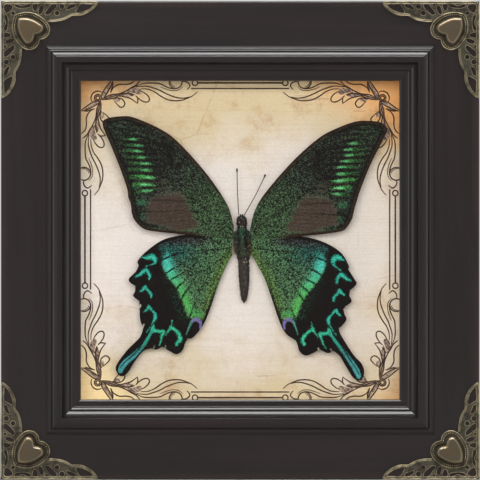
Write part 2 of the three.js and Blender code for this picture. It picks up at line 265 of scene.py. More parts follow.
# shared effects

def buildGrain(s, given):  # long streaks with pores along X of the vector
    streaks = s.noise(s.mapped((18, 420, 420), source=given["Vector"]), 1.0, 5.0, 0.6, 0.4)
    broad = s.noise(s.mapped((9, 90, 90), source=given["Vector"]), 1.0, 2.0)
    pores = s.ramp(s.noise(s.mapped((120, 2600, 2600), source=given["Vector"]), 1.0, 2.0), 0.60, 0.72)
    figure = s.math("ADD", s.math("MULTIPLY", streaks, 0.6), s.math("MULTIPLY", broad, 0.4))
    return {"Figure": s.ramp(figure, 0.36, 0.64), "Pores": pores}


def buildDust(s, given):  # fine specks and a thin uneven film
    specks = s.cells(given["Vector"], 1500.0).outputs["Distance"]
    film = s.noise(given["Vector"], 60.0, 4.0)
    spots = s.math("MULTIPLY", s.ramp(specks, 0.16, 0.06), s.ramp(film, 0.5, 0.66))
    return {"Mask": s.math("MULTIPLY", spots, given["Amount"]), "Film": film}


def buildScales(s, given):  # tiny overlapping scales: some lit with the colour, the rest of the ground
    place = s.objectPlace()
    clumps = s.cells(place, 3100.0)
    fine = s.cells(place, 5400.0)
    pick = s.separate(clumps.outputs["Color"])[0]
    finePick = s.separate(fine.outputs["Color"])[1]
    level = s.math("ADD", s.math("MULTIPLY", pick, 0.66), s.math("MULTIPLY", finePick, 0.34))
    drift = s.math("MULTIPLY", s.math("SUBTRACT", s.noise(place, 260.0, 2.0), 0.5), 0.12)
    lit = s.ramp(s.math("SUBTRACT", s.math("ADD", given["Cover"], drift), level), -0.08, 0.12)
    shade = s.ramp(finePick, 0.0, 1.0, 0.26, 1.04)
    bright = s.mix(1.0, given["Scale Colour"], s.combine(shade), "MULTIPLY")
    return {"Colour": s.mix(lit, given["Ground"], bright), "Lit": lit,
            "Height": s.math("SUBTRACT", level, fine.outputs["Distance"])}


grainGroup = makeGroup("wood_grain", {"Vector": ("Vector", None)},
                       {"Figure": "Float", "Pores": "Float"}, buildGrain)
dustGroup = makeGroup("dust", {"Vector": ("Vector", None), "Amount": ("Float", 0.5)},
                      {"Mask": "Float", "Film": "Float"}, buildDust)
scaleGroup = makeGroup(
    "wing_scales",
    {"Scale Colour": ("Color", None), "Ground": ("Color", None), "Cover": ("Float", 0.5)},
    {"Colour": "Color", "Lit": "Float", "Height": "Float"}, buildScales)


# geometry helpers

def smoothLine(points, steps=6, closed=False):  # a smooth curve through the points
    rows = np.array(points, float)
    count = len(rows)
    made = []
    for i in range(count if closed else count - 1):
        if closed:
            a, b, c, d = (rows[(i + k) % count] for k in (-1, 0, 1, 2))
        else:
            a, b, c, d = rows[max(i - 1, 0)], rows[i], rows[i + 1], rows[min(i + 2, count - 1)]
        for k in range(steps):
            t = k / steps
            made.append(0.5 * (2 * b + (c - a) * t + (2 * a - 5 * b + 4 * c - d) * t ** 2
                               + (3 * b - a - 3 * c + d) * t ** 3))
    if not closed:
        made.append(rows[-1])
    return np.array(made)


def insideOutline(x, y, outline):
    inside = np.zeros(len(x), bool)
    rim = np.array(outline, float)[:, :2]
    for (x0, y0), (x1, y1) in zip(rim, np.roll(rim, -1, 0)):
        if y0 != y1:
            crossed = (y0 > y) != (y1 > y)
            inside ^= crossed & (x < (x1 - x0) * (y - y0) / (y1 - y0) + x0)
    return inside


def nearestOn(x, y, line):  # for each place: distance to the line, the nearest point, how far along
    line = np.array(line, float)
    best = np.full(len(x), 1e9)
    point = np.zeros((len(x), 2))
    along = np.zeros(len(x))
    for i in range(len(line) - 1):
        a, d = line[i, :2], line[i + 1, :2] - line[i, :2]
        t = np.clip(((x - a[0]) * d[0] + (y - a[1]) * d[1]) / max(d @ d, 1e-12), 0, 1)
        px, py = a[0] + t * d[0], a[1] + t * d[1]
        away = np.hypot(x - px, y - py)
        closer = away < best
        best = np.where(closer, away, best)
        point[closer] = np.stack([px, py], 1)[closer]
        along = np.where(closer, i + t, along)
    return best, point, along


def trimmedGrid(outline, step):  # a fine sheet cut to the outline, its border drawn onto it
    rim = np.array(outline, float)[:, :2]
    low, high = rim.min(0) - step, rim.max(0) + step
    count = np.ceil((high - low) / step).astype(int)
    bm = bmesh.new()
    bmesh.ops.create_grid(bm, x_segments=int(count[0]), y_segments=int(count[1]), size=0.5)
    bmesh.ops.scale(bm, verts=bm.verts, vec=(count[0] * step, count[1] * step, 1))
    bmesh.ops.translate(bm, verts=bm.verts, vec=(*(low + high) / 2, 0))
    middles = np.array([f.calc_center_median()[:2] for f in bm.faces])
    keep = insideOutline(middles[:, 0], middles[:, 1], rim)
    bmesh.ops.delete(bm, geom=[f for f, k in zip(bm.faces[:], keep) if not k], context="FACES")
    border = [v for v in bm.verts if v.is_boundary]
    places = np.array([v.co[:2] for v in border])
    point = nearestOn(places[:, 0], places[:, 1], np.vstack([rim, rim[:1]]))[1]
    for v, (px, py) in zip(border, point):
        v.co.x, v.co.y = px, py
    return bm


def addPiece(name, mesh, materials, slotName, *replaced):
    piece = bpy.data.objects.new(name, mesh)
    bpy.context.scene.collection.objects.link(piece)
    for material in materials:
        mesh.materials.append(material)
    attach(piece, "root")
    if replaced:
        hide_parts(*replaced)
    return piece


def finishMesh(bm, name, angle=35.0):  # normals out, shaded smooth below the angle
    bmesh.ops.recalc_face_normals(bm, faces=bm.faces)
    mesh = bpy.data.meshes.new(name)
    bm.to_mesh(mesh)
    bm.free()
    mesh.shade_smooth()
    mesh.set_sharp_from_angle(angle=math.radians(angle))
    return mesh


def curveMesh(lines, closed=False, **settings):  # tubes or filled shapes from lists of points
    data = bpy.data.curves.new("draft", "CURVE")
    for key, value in settings.items():
        setattr(data, key, value)
    for line in lines:
        spline = data.splines.new("POLY")
        spline.points.add(len(line) - 1)
        spline.use_cyclic_u = closed
        for point, place in zip(spline.points, line):
            point.co = (place[0], place[1], place[2] if len(place) > 2 else 0, 1)
            point.radius = place[3] if len(place) > 3 else 1
    draft = bpy.data.objects.new("draft", data)
    bpy.context.scene.collection.objects.link(draft)
    bpy.context.view_layer.update()
    mesh = bpy.data.meshes.new_from_object(draft.evaluated_get(bpy.context.evaluated_depsgraph_get()))
    bpy.data.objects.remove(draft)
    return mesh


def gather(bm, mesh, matrix=None, index=0):  # adds a draft mesh to a bmesh and throws the draft away
    if index:
        mesh.polygons.foreach_set("material_index", [index] * len(mesh.polygons))
    if matrix is not None:
        mesh.transform(matrix)
        if matrix.determinant() < 0:
            mesh.flip_normals()
    bm.from_mesh(mesh)
    bpy.data.meshes.remove(mesh)


# the moulding

moulding = {          # section, mm: in from the outer edge, and depth
    "wall": 25.5, "rail": 30.0, "face": 25.0, "crest": 28.0, "lip": 23.9, "seat": 21.0,
}


def bend(start, pull, end, steps=6):
    start, pull, end = (np.array(p, float) for p in (start, pull, end))
    t = np.linspace(0, 1, steps + 1)[1:, None]
    return [tuple(p) for p in (1 - t) ** 2 * start + 2 * t * (1 - t) * pull + t ** 2 * end]


def mouldingSection():
    m = moulding
    lip, crest, face, rail = m["lip"], m["crest"], m["face"], m["rail"]
    points = [(0.25, 0), (m["wall"], 0), (m["wall"], m["seat"]), (rail, m["seat"]), (rail, lip - 0.8)]
    points += [(29.9, lip - 0.46), (29.7, lip - 0.29), (29.62, lip - 0.24), (29.3, lip - 0.06)]
    points += [(29.2, lip - 0.01), (29.1, lip)]
    points += [(27.7, lip), (27.45, lip + 0.03), (27.4, lip + 0.06), (27.25, lip + 0.15), (27.2, lip + 0.17)]
    points += [(26.95, lip + 0.19), (26.85, lip + 0.25), (26.4, lip + 0.51), (26.33, lip + 0.55)]
    points += [(26.2, lip + 0.55), (26.1, lip + 0.35), (25.98, lip + 0.06), (25.64, lip + 0.06)]
    points += [(25.54, lip + 0.11), (24.85, lip + 0.52), (24.75, lip + 0.58)]
    points += bend((24.75, lip + 0.58), (23.6, 25.23), (23.3, 26.4), 8)
    points += [(23.15, 27.8), (23.05, 27.95), (22.9, crest), (21.0, crest)]
    points += [(20.95, crest - 0.01), (20.9, crest - 0.03), (20.8, crest - 0.085), (20.75, crest - 0.115)]
    points += [(20.5, crest - 0.13), (20.46, crest - 0.15), (20.38, crest - 0.195), (20.34, crest - 0.22)]
    points += [(20.2, crest - 0.235), (20.1, crest - 0.29), (19.55, crest - 0.605), (19.45, crest - 0.665)]
    points += [(19.2, 26.3)]
    points += bend((19.2, 26.3), (19.1, 25.8), (18.85, 25.95), 3)
    points += [(18.72, 26.02), (18.62, 26.0), (18.55, 25.96), (18.42, 25.89), (18.35, 25.85)]
    points += [(18.25, 25.83), (17.87, 25.83), (17.77, 25.77), (17.0, 25.253), (16.92, 25.19)]
    points += bend((16.92, 25.19), (16.82, face), (16.68, face), 2)
    points += [(0.8, face)]
    points += bend((0.8, face), (0, face), (0, face - 0.8))
    points += [(0, 0.25)]
    return points


def makeRail(name, turns, material):
    bm = bmesh.new()
    section = [bm.verts.new((-half, woodBack - depth, -half + u)) for u, depth in mouldingSection()]
    end = bm.faces.new(section)
    grown = bmesh.ops.extrude_face_region(bm, geom=[end])
    moved = [v for v in grown["geom"] if isinstance(v, bmesh.types.BMVert)]
    bmesh.ops.translate(bm, verts=moved, vec=(2 * half, 0, 0))
    for side in (-1, 1):
        bmesh.ops.bisect_plane(
            bm, geom=bm.verts[:] + bm.edges[:] + bm.faces[:], dist=1e-5,
            plane_co=(side * half, 0, -half), plane_no=(side, 0, 1), clear_outer=True)
        bmesh.ops.holes_fill(bm, edges=[e for e in bm.edges if e.is_boundary])
    bmesh.ops.rotate(bm, verts=bm.verts, cent=(0, 0, 0), matrix=Matrix.Rotation(turns * math.pi / 2, 3, "Y"))
    bmesh.ops.translate(bm, verts=bm.verts, vec=(0, 0, middleZ))
    bmesh.ops.scale(bm, verts=bm.verts, vec=(mm, mm, mm))
    addPiece("moulding_" + name, finishMesh(bm, "moulding_" + name, 28.0), [material], "frame_wood",
             "rail_" + name)


lacquer = {
    "dark": srgb(33, 30, 30), "red": srgb(51, 41, 39), "back": srgb(70, 52, 42),
    "roughness": 0.42, "coat": 0.5, "coatRoughness": 0.13,
}


def lacquerMaterial(name, upright):
    s = Shader(name)
    place = s.mapped(turn=(0, math.pi / 2, 0)) if upright else s.objectPlace()
    grain = s.group(grainGroup, Vector=place)
    where = s.separate(s.objectPlace())
    dust = s.group(dustGroup, Vector=s.objectPlace(), Amount=0.25)
    sideways = s.math("ABSOLUTE", where[0])
    upward = s.math("ABSOLUTE", s.math("SUBTRACT", where[2], middleZ * mm))
    fromEdge = s.math("SUBTRACT", half * mm, s.math("MAXIMUM", sideways, upward))
    rubbed = s.ramp(s.math("ADD", fromEdge, s.math("MULTIPLY", dust["Film"], 0.004)), 0.0055, 0.0015)
    tone = s.math("ADD", s.math("MULTIPLY", grain["Figure"], 0.35), s.math("MULTIPLY", rubbed, 0.65))
    colour = s.mix(tone, lacquer["dark"], lacquer["red"])
    behind = s.ramp(where[1], (woodBack - 1.2) * mm, (woodBack - 0.4) * mm)
    bare = s.mix(grain["Figure"], lacquer["back"], srgb(98, 74, 56))
    colour = s.mix(behind, colour, bare)
    colour = s.mix(dust["Mask"], colour, srgb(150, 145, 140))
    rough = s.math("ADD", lacquer["roughness"], s.math("MULTIPLY", s.math("SUBTRACT", dust["Film"], 0.5), 0.2))
    rough = s.math("ADD", rough, s.math("MULTIPLY", behind, 0.35))
    height = s.math("SUBTRACT", s.math("MULTIPLY", grain["Figure"], 0.35), grain["Pores"])
    coat = s.math("MULTIPLY", s.math("SUBTRACT", 1.0, behind), lacquer["coat"])
    return s.set(Base_Color=colour, Roughness=rough, Coat_Weight=coat,
                 Coat_Roughness=lacquer["coatRoughness"], Specular_IOR_Level=0.2,
                 Normal=s.bump(height, 0.00002, 0.3))


# brass corners

brassPlate = {        # mm, measured along and across an arm from the outer corner
    "bottom": 0.3, "top": 1.2, "ringTop": 1.5, "heartTop": 3.3, "inset": 0.08, "round": 1.8, "arm": 36.6,
    "pull": 0.4,      # all but the outer rim lies this much nearer the outer edges than listed
    "edge": [(37.0, 0.7), (36.5, 1.9), (35.0, 3.6), (32.9, 5.0), (30.4, 5.95), (27.5, 5.95)],
    "edge2": [(26.9, 6.1), (25.2, 7.15), (23.5, 7.8), (20.7, 8.3), (18.4, 8.35)],
    "ring": [(5.7, 5.7), (7.5, 4.9), (10.5, 4.55), (13.5, 5.2), (16.2, 6.8), (18.1, 8.7), (18.9, 10.9),
             (18.3, 13.2), (16.7, 14.6), (15.05, 15.05)],
    "heart": [(6.9, 6.9), (8.3, 6.6), (10.2, 6.6), (12.4, 7.2), (14.7, 8.4), (16.3, 9.7), (16.5, 11.0),
              (15.7, 12.3), (14.3, 12.9), (13.1, 13.1)],
}

armHoles = [          # outlines of the openings in one arm
    [(5.6, 1.75), (6.9, 1.85), (7.9, 2.25), (9.1, 2.25), (10.0, 1.75), (11.4, 1.65), (11.6, 2.35),
     (10.7, 2.8), (9.2, 3.0), (7.9, 3.05), (6.7, 2.9), (5.7, 2.4)],
    [(13.2, 1.6), (14.2, 1.65), (14.1, 2.9), (13.5, 4.2), (12.7, 3.7), (12.3, 2.5), (12.5, 1.7)],
    [(15.6, 2.05), (16.4, 2.5), (16.4, 3.7), (15.6, 5.1), (14.8, 5.4), (14.5, 4.75), (14.8, 3.2)],
    [(16.95, 1.65), (18.15, 1.65), (17.55, 2.65)],
    [(19.5, 1.65), (21.3, 1.7), (21.1, 2.9), (19.7, 4.35), (18.2, 5.5), (17.1, 5.3), (17.2, 4.6), (18.5, 2.9)],
    [(27.0, 1.65), (28.5, 1.7), (28.2, 2.65), (27.2, 3.05), (25.4, 3.65), (25.0, 3.3), (25.7, 2.25)],
    [(30.4, 1.65), (32.7, 1.65), (35.0, 1.9), (34.2, 2.9), (32.5, 3.9), (30.4, 4.6), (28.7, 4.7), (29.1, 3.4)],
]
roundHoles = [(21.5, 4.95, 0.87), (23.35, 2.45, 0.95)]
cornerHole = [(1.6, 2.3), (2.3, 1.6), (3.6, 1.7), (4.8, 2.3), (4.5, 3.4), (3.9, 3.9), (3.4, 4.5), (2.3, 4.8),
              (1.7, 3.6)]


def swapped(points):
    return [(b, a) for a, b in reversed(points)]


def roundLine(a, b, radius, steps=20):
    return [(a + radius * math.cos(t), b + radius * math.sin(t))
            for t in np.linspace(0, 2 * math.pi, steps + 1)[:-1]]


def signedArea(points):
    x, y = np.array(points, float)[:, :2].T
    return 0.5 * np.sum(x * np.roll(y, -1) - y * np.roll(x, -1))


def turnedTo(points, positive):  # the outline, running the way asked for
    points = [tuple(p[:2]) for p in points]
    return points if (signedArea(points) > 0) == positive else points[::-1]


def inset(points, distance, closed=True):  # the line moved sideways, to its left
    line = np.array(points, float)[:, :2]
    before = np.roll(line, 1, 0) if closed else np.vstack([line[:1], line[:-1]])
    after = np.roll(line, -1, 0) if closed else np.vstack([line[1:], line[-1:]])
    along = after - before
    along /= np.maximum(np.hypot(*along.T)[:, None], 1e-9)
    return line + distance * np.stack([-along[:, 1], along[:, 0]], 1)


def pulled(points):
    return [(a - brassPlate["pull"], b - brassPlate["pull"]) for a, b in points]


def armEdge():
    return [tuple(q) for part in ("edge", "edge2") for q in smoothLine(pulled(brassPlate[part]), 4)]


def plateOutline():
    p = brassPlate
    edge, turn = p["inset"], p["round"]
    corner = [(edge + turn * (1 - math.cos(a)), edge + turn * (1 - math.sin(a)))
              for a in np.linspace(0, math.pi / 2, 8)]
    arm = armEdge()
    start = [(p["arm"] - 0.5, edge)]
    return corner + start + arm + [(12.0, 12.0)] + swapped(arm) + [(edge, p["arm"] - 0.5)]


def symmetric(points):
    return list(points) + swapped(points)[1:-1]


def tubes(bm, lines, radius, height, closed=False, squash=1.0, resolution=2):
    placed = [[(a, b, 0.0) for a, b in line] for line in lines]
    mesh = curveMesh(placed, closed, dimensions="3D", bevel_depth=radius, bevel_resolution=resolution,
                     use_fill_caps=not closed)
    gather(bm, mesh, Matrix.Translation((0, 0, height)) @ Matrix.Diagonal((1, 1, squash, 1)))


def slab(bm, outlines, bottom, top, bevel, index):
    mesh = curveMesh(outlines, True, dimensions="2D", fill_mode="BOTH", extrude=(top - bottom) / 2 - bevel,
                     bevel_depth=bevel, bevel_resolution=2, offset=-bevel)
    gather(bm, mesh, Matrix.Translation((0, 0, (top + bottom) / 2)), index)


def evenly(points, step, closed=True):  # places at even steps along a line
    line = np.array(points, float)
    if closed:
        line = np.vstack([line, line[:1]])
    lengths = np.hypot(*np.diff(line, axis=0).T)
    total = lengths.sum()
    stops = np.linspace(0, total, int(total / step) + 1)[:-1 if closed else None]
    run = np.concatenate([[0], np.cumsum(lengths)])
    return np.stack([np.interp(stops, run, line[:, k]) for k in (0, 1)], 1)


def heartDome(bm, outline, foot, top):
    rim = np.array(outline, float)
    sheet = trimmedGrid(rim, 0.3)
    co = np.array([v.co[:2] for v in sheet.verts])
    rise = np.clip(nearestOn(co[:, 0], co[:, 1], np.vstack([rim, rim[:1]]))[0] / 1.5, 0, 1)
    middle = rim.mean(0)
    crown = 0.22 * (1 - np.clip(np.hypot(*(co - middle).T) / 5, 0, 1) ** 2)
    height = foot + (top - 0.25 - foot) * np.sqrt(1 - (1 - rise) ** 2) + crown * rise
    for v, h in zip(sheet.verts, height):
        v.co.z = h
    draft = bpy.data.meshes.new("draft")
    sheet.to_mesh(draft)
    sheet.free()
    gather(bm, draft, None, 2)


def buildCorner():
    p = brassPlate
    bm = bmesh.new()
    outline = plateOutline()
    holes = [smoothLine(turn(pulled(h)), 5, True) for turn in (list, swapped) for h in armHoles]
    for a, b, r in roundHoles + [(b, a, r) for a, b, r in roundHoles] + [(4.95, 4.95, 0.7)]:
        holes.append(pulled(roundLine(a, b, r, 16)))
    holes.append(smoothLine(pulled(cornerHole), 4, True))
    plate = [turnedTo(outline, True)] + [turnedTo(h, False) for h in holes]
    slab(bm, plate, p["bottom"], p["top"] - 0.2, 0.15, 1)
    tubes(bm, [inset(h, 0.1) for h in plate[1:]], 0.14, p["top"] - 0.17, True, 1.0, 1)

    ring = turnedTo(smoothLine(symmetric(pulled(p["ring"])), 5, True), True)
    heart = turnedTo(smoothLine(symmetric(pulled(p["heart"])), 6, True), True)
    slab(bm, [ring], p["bottom"], p["ringTop"] - 0.45, 0.2, 3)
    tubes(bm, [inset(ring, 0.2)], 0.24, p["ringTop"] - 0.2, True)
    for a, b in evenly(inset(ring, 0.98), 0.72):
        bmesh.ops.create_icosphere(bm, subdivisions=1, radius=0.29, matrix=Matrix.Translation((a, b, 1.14)))
    heartDome(bm, inset(heart, -0.3), 1.0, p["heartTop"])

    plain = turnedTo(outline, True)
    arm = armEdge()
    for line in (arm, swapped(arm)[::-1]):
        side = 1 if line is arm else -1
        for distance, radius, sunk in ((0.2, 0.2, 0.1), (0.72, 0.17, 0.14)):
            inward = np.maximum(inset(line, side * distance, False), radius + p["inset"])
            tubes(bm, [inward], radius, p["top"] - sunk)
    outer = [q for q in plain if min(q) < 0.2 or q[0] + q[1] < 4]  # the two straight edges and the corner
    outer = sorted(outer, key=lambda q: q[0] - q[1])
    tubes(bm, [inset(outer, 0.18, False)], 0.2, p["top"] - 0.05)
    tubes(bm, [inset(outer, 0.85, False)], 0.14, p["top"] - 0.14)
    return bm


def makeCorners(materials):
    template = buildCorner()
    face = woodBack - moulding["face"]
    for name, right, up in (("top_left", -1, 1), ("top_right", 1, 1), ("bottom_right", 1, -1),
                            ("bottom_left", -1, -1)):
        bm = template.copy()
        matrix = Matrix(((-right, 0, 0, right * half), (0, 0, -1, face), (0, -up, 0, middleZ + up * half),
                         (0, 0, 0, 1)))
        bmesh.ops.transform(bm, verts=bm.verts, matrix=Matrix.Scale(mm, 4) @ matrix)
        if matrix.determinant() < 0:
            bmesh.ops.reverse_faces(bm, faces=bm.faces)
        mesh = bpy.data.meshes.new("brass_corner_" + name)
        bm.to_mesh(mesh)
        bm.free()
        mesh.shade_smooth()
        mesh.set_sharp_from_angle(angle=math.radians(50))
        addPiece("brass_corner_" + name, mesh, materials, "antique_brass", "corner_" + name)
    template.free()


brassLooks = {        # the tone, the tone where the patina clouds it, roughness
    "rubbed_brass_rims": (srgb(186, 172, 140), srgb(124, 114, 92), 0.36),
    "dark_brass_plate": (srgb(104, 99, 85), srgb(68, 66, 56), 0.44),
    "brown_brass_heart": (srgb(112, 103, 88), srgb(120, 100, 76), 0.4),
    "black_brass_groove": (srgb(76, 71, 60), srgb(54, 50, 42), 0.5),
}


def brassMaterial(name):
    tone, clouded, roughness = brassLooks[name]
    s = Shader(name)
    place = s.objectPlace()
    cloud = s.noise(place, 420.0, 4.0)
    pits = s.cells(place, 2600.0).outputs["Distance"]
    lift = s.math("SUBTRACT", (woodBack - moulding["face"]) * mm, s.separate(place)[1])
    low = s.ramp(lift, 0.0008, 0.0002)
    colour = s.mix(s.ramp(cloud, 0.4, 0.65), tone, clouded)
    colour = s.mix(s.math("MULTIPLY", low, 0.8), colour, srgb(22, 19, 15))
    if name == "brown_brass_heart":  # its shoulder gets a painted pale highlight all round
        shoulderHighlight = s.math("MULTIPLY", s.ramp(lift, 0.0022, 0.0026), s.ramp(lift, 0.00312, 0.00296))
        colour = s.mix(s.math("MULTIPLY", shoulderHighlight, 0.55), colour, srgb(180, 166, 136))
    dust = s.group(dustGroup, Vector=place, Amount=0.35)
    colour = s.mix(dust["Mask"], colour, srgb(150, 145, 130))
    rough = s.math("ADD", roughness, s.math("MULTIPLY", s.math("SUBTRACT", cloud, 0.5), 0.3))
    height = s.math("ADD", cloud, s.math("MULTIPLY", pits, 0.5))
    return s.set(Base_Color=colour, Metallic=0.75, Roughness=rough, Normal=s.bump(height, 0.00006, 0.5))


# glass, card and what lies behind

def glassMaterial():
    s = Shader("picture_glass")
    film = s.noise(s.objectPlace(), 30.0, 3.0)
    material = s.set(Base_Color=s.mix(s.ramp(film, 0.3, 0.7), (1.0, 1.0, 1.0), (0.985, 0.995, 0.99)),
                     Roughness=0.0, IOR=1.45, Transmission_Weight=1.0)
    clear = s.node("BsdfTransparent")
    path = s.node("LightPath")
    pick = s.node("MixShader")
    through = s.math("MAXIMUM", path.outputs["Is Shadow Ray"], path.outputs["Is Diffuse Ray"])
    s.feed(pick.inputs[0], through)
    s.feed(pick.inputs[1], s.bsdf.outputs[0])
    s.feed(pick.inputs[2], clear.outputs[0])
    s.feed(s.tree.nodes["Material Output"].inputs["Surface"], pick.outputs[0])
    return material


parchment = {
    "pale": srgb(228, 220, 214), "warm": srgb(206, 190, 156), "edge": srgb(218, 162, 104),
    "stain": srgb(166, 116, 66), "dim": srgb(206, 198, 186), "paintedCornerLight": srgb(248, 222, 166), "halfWidth": 60.0,
}


def cardMaterial():
    s = Shader("aged_parchment")
    place = s.objectPlace()
    where = s.separate(place)
    scale = 1 / (parchment["halfWidth"] * mm)
    across = s.math("MULTIPLY", where[0], scale)
    up = s.math("MULTIPLY", s.math("SUBTRACT", where[2], middleZ * mm), scale)
    sideways, upward = s.math("ABSOLUTE", across), s.math("ABSOLUTE", up)
    border = s.math("MAXIMUM", sideways, upward)
    corner = s.math("MULTIPLY", sideways, upward)
    cloud = s.noise(place, 38.0, 5.0, 0.6)
    patch = s.noise(place, 110.0, 5.0, 0.7)
    lean = s.math("MULTIPLY", up, 0.12)  # the card is warmer towards its top
    drift = s.math("ADD", s.math("MULTIPLY", s.math("SUBTRACT", cloud, 0.5), 1.0), lean)
    reach = s.math("ADD", s.math("MULTIPLY", border, 0.35), s.math("MULTIPLY", upward, 0.65))
    warmth = s.ramp(s.math("ADD", reach, drift), 0.36, 0.92)
    slant = s.math("ADD", s.math("MULTIPLY", up, 0.08), s.math("MULTIPLY", across, 0.07))
    brown = s.ramp(s.math("ADD", s.math("ADD", corner, drift), slant), 0.55, 1.15)
    # painted shade: the pale tone darkens towards the card's right side
    pale = s.mix(s.ramp(across, -0.9, 1.1, 0.0, 0.6), parchment["pale"], parchment["dim"])
    colour = s.mix(warmth, pale, parchment["warm"])
    colour = s.mix(brown, colour, parchment["edge"])
    mottled = s.math("MULTIPLY", s.ramp(patch, 0.46, 0.72), s.math("ADD", s.math("MULTIPLY", warmth, 0.45), 0.05))
    colour = s.mix(mottled, colour, parchment["stain"])
    # painted light: the bottom-left corner is lightened to a pale yellow
    paintedCornerLight = s.ramp(s.math("ADD", across, up), -1.45, -1.9, 0.0, 0.85)
    colour = s.mix(paintedCornerLight, colour, parchment["paintedCornerLight"])
    grain = s.ramp(s.noise(place, 1500.0, 3.0, 0.7), 0.3, 0.7, 0.0, 0.16)
    colour = s.mix(grain, colour, parchment["stain"])
    laid = s.noise(s.mapped((25, 25, 1500)), 1.0, 2.0)
    fibres = s.noise(s.mapped((900, 900, 60)), 1.0, 3.0)
    marks = s.math("ADD", s.math("MULTIPLY", s.ramp(laid, 0.45, 0.7), 0.09),
                   s.math("MULTIPLY", s.ramp(fibres, 0.55, 0.75), 0.07))
    colour = s.mix(marks, colour, parchment["stain"])
    cracks = s.cells(s.mapped((1, 1, 1)), 45.0, "DISTANCE_TO_EDGE").outputs["Distance"]
    thin = s.math("MULTIPLY", s.ramp(cracks, 0.014, 0.0), s.ramp(cloud, 0.48, 0.6))
    dashes = s.noise(s.mapped((60, 60, 520)), 1.0, 4.0, 0.6)
    dark = s.math("MULTIPLY", s.ramp(dashes, 0.64, 0.7), s.math("ADD", warmth, 0.1))
    colour = s.mix(s.math("MULTIPLY", thin, 0.35), colour, parchment["stain"])
    colour = s.mix(s.math("MULTIPLY", dark, 0.3), colour, srgb(122, 92, 66))
    return s.set(Base_Color=colour, Roughness=0.85, Specular_IOR_Level=0.15,
                 Normal=s.bump(s.math("ADD", laid, patch), 0.00003, 0.3))


def bareMaterial(name, low, high, scale, **settings):  # one clouded tone with a fine grain
    s = Shader(name)
    cloud = s.noise(s.objectPlace(), scale, 4.0)
    fine = s.noise(s.objectPlace(), scale * 14, 3.0)
    dust = s.group(dustGroup, Vector=s.objectPlace(), Amount=0.3)
    tone = s.ramp(s.math("ADD", s.math("MULTIPLY", cloud, 0.6), s.math("MULTIPLY", fine, 0.4)), 0.35, 0.65)
    colour = s.mix(dust["Mask"], s.mix(tone, low, high), srgb(165, 160, 150))
    settings.setdefault("Roughness", 0.8)
    return s.set(Base_Color=colour, Normal=s.bump(fine, 0.00003, 0.4), **settings)


def bevelledCopy(name, material, slotName, width):  # the solid's own shape with its edges broken
    bm = bmesh.new()
    bm.from_mesh(nodes[name].data)
    bmesh.ops.remove_doubles(bm, verts=bm.verts, dist=1e-6)
    bmesh.ops.dissolve_limit(bm, angle_limit=0.02, verts=bm.verts, edges=bm.edges)
    sharp = [e for e in bm.edges if e.is_manifold and e.calc_face_angle(0) > 0.6]
    bmesh.ops.bevel(bm, geom=sharp, offset=width * mm, offset_type="OFFSET", affect="EDGES", segments=2,
                    profile=0.5, material=-1, clamp_overlap=True)
    addPiece(name + "_finished", finishMesh(bm, name + "_finished", 40.0), [material], slotName, name)


def makeBackParts():
    board = bareMaterial("spacer_ivory", srgb(214, 203, 180), srgb(228, 220, 202), 90.0)
    for side in ("top", "bottom", "left", "right"):
        bevelledCopy("spacer_" + side, board, "spacer_board", 0.08)
    bevelledCopy("back_board", bareMaterial("pressed_board", srgb(112, 80, 52), srgb(150, 112, 76), 160.0),
                 "hardboard", 0.15)
    zinc = bareMaterial("dull_zinc", srgb(150, 150, 146), srgb(190, 190, 186), 500.0, Metallic=0.9,
                        Roughness=0.42)
    for side in ("bottom", "left", "top", "right"):
        for count in ("1", "2"):
            bevelledCopy("framers_point_" + side + "_" + count, zinc, "zinc_steel", 0.06)
    yellow = bareMaterial("yellow_zinc", srgb(170, 146, 92), srgb(206, 186, 132), 400.0, Metallic=0.9,
                          Roughness=0.36)
    bevelledCopy("sawtooth_hanger", yellow, "hanger_steel", 0.08)
    for side in ("left", "right"):
        bevelledCopy("hanger_nail_" + side, yellow, "hanger_steel", 0.08)


# printed border

border = {
    "line": 0.25, "thin": 0.16, "cardDepth": 7.6, "washLift": 0.012, "inkLift": 0.03, "flat": 0.06,
    "spread": 1.0069,         # the print runs slightly past the opening
    "uprightIn": 0.82,        # the arms beside the upright edges lie this much further in
    "uprightUp": (0.1, 0.72),  # and this much nearer the corner, below and above
}

knot = {"at": 6.45, "rings": (1.3, 0.72), "root": (7.7, 7.1)}

collar = [(7.9, 4.3), (7.0, 3.95), (6.2, 3.9), (5.3, 4.2), (4.65, 4.65), (4.2, 5.3), (3.9, 6.2), (3.95, 7.0),
          (4.3, 7.9)]

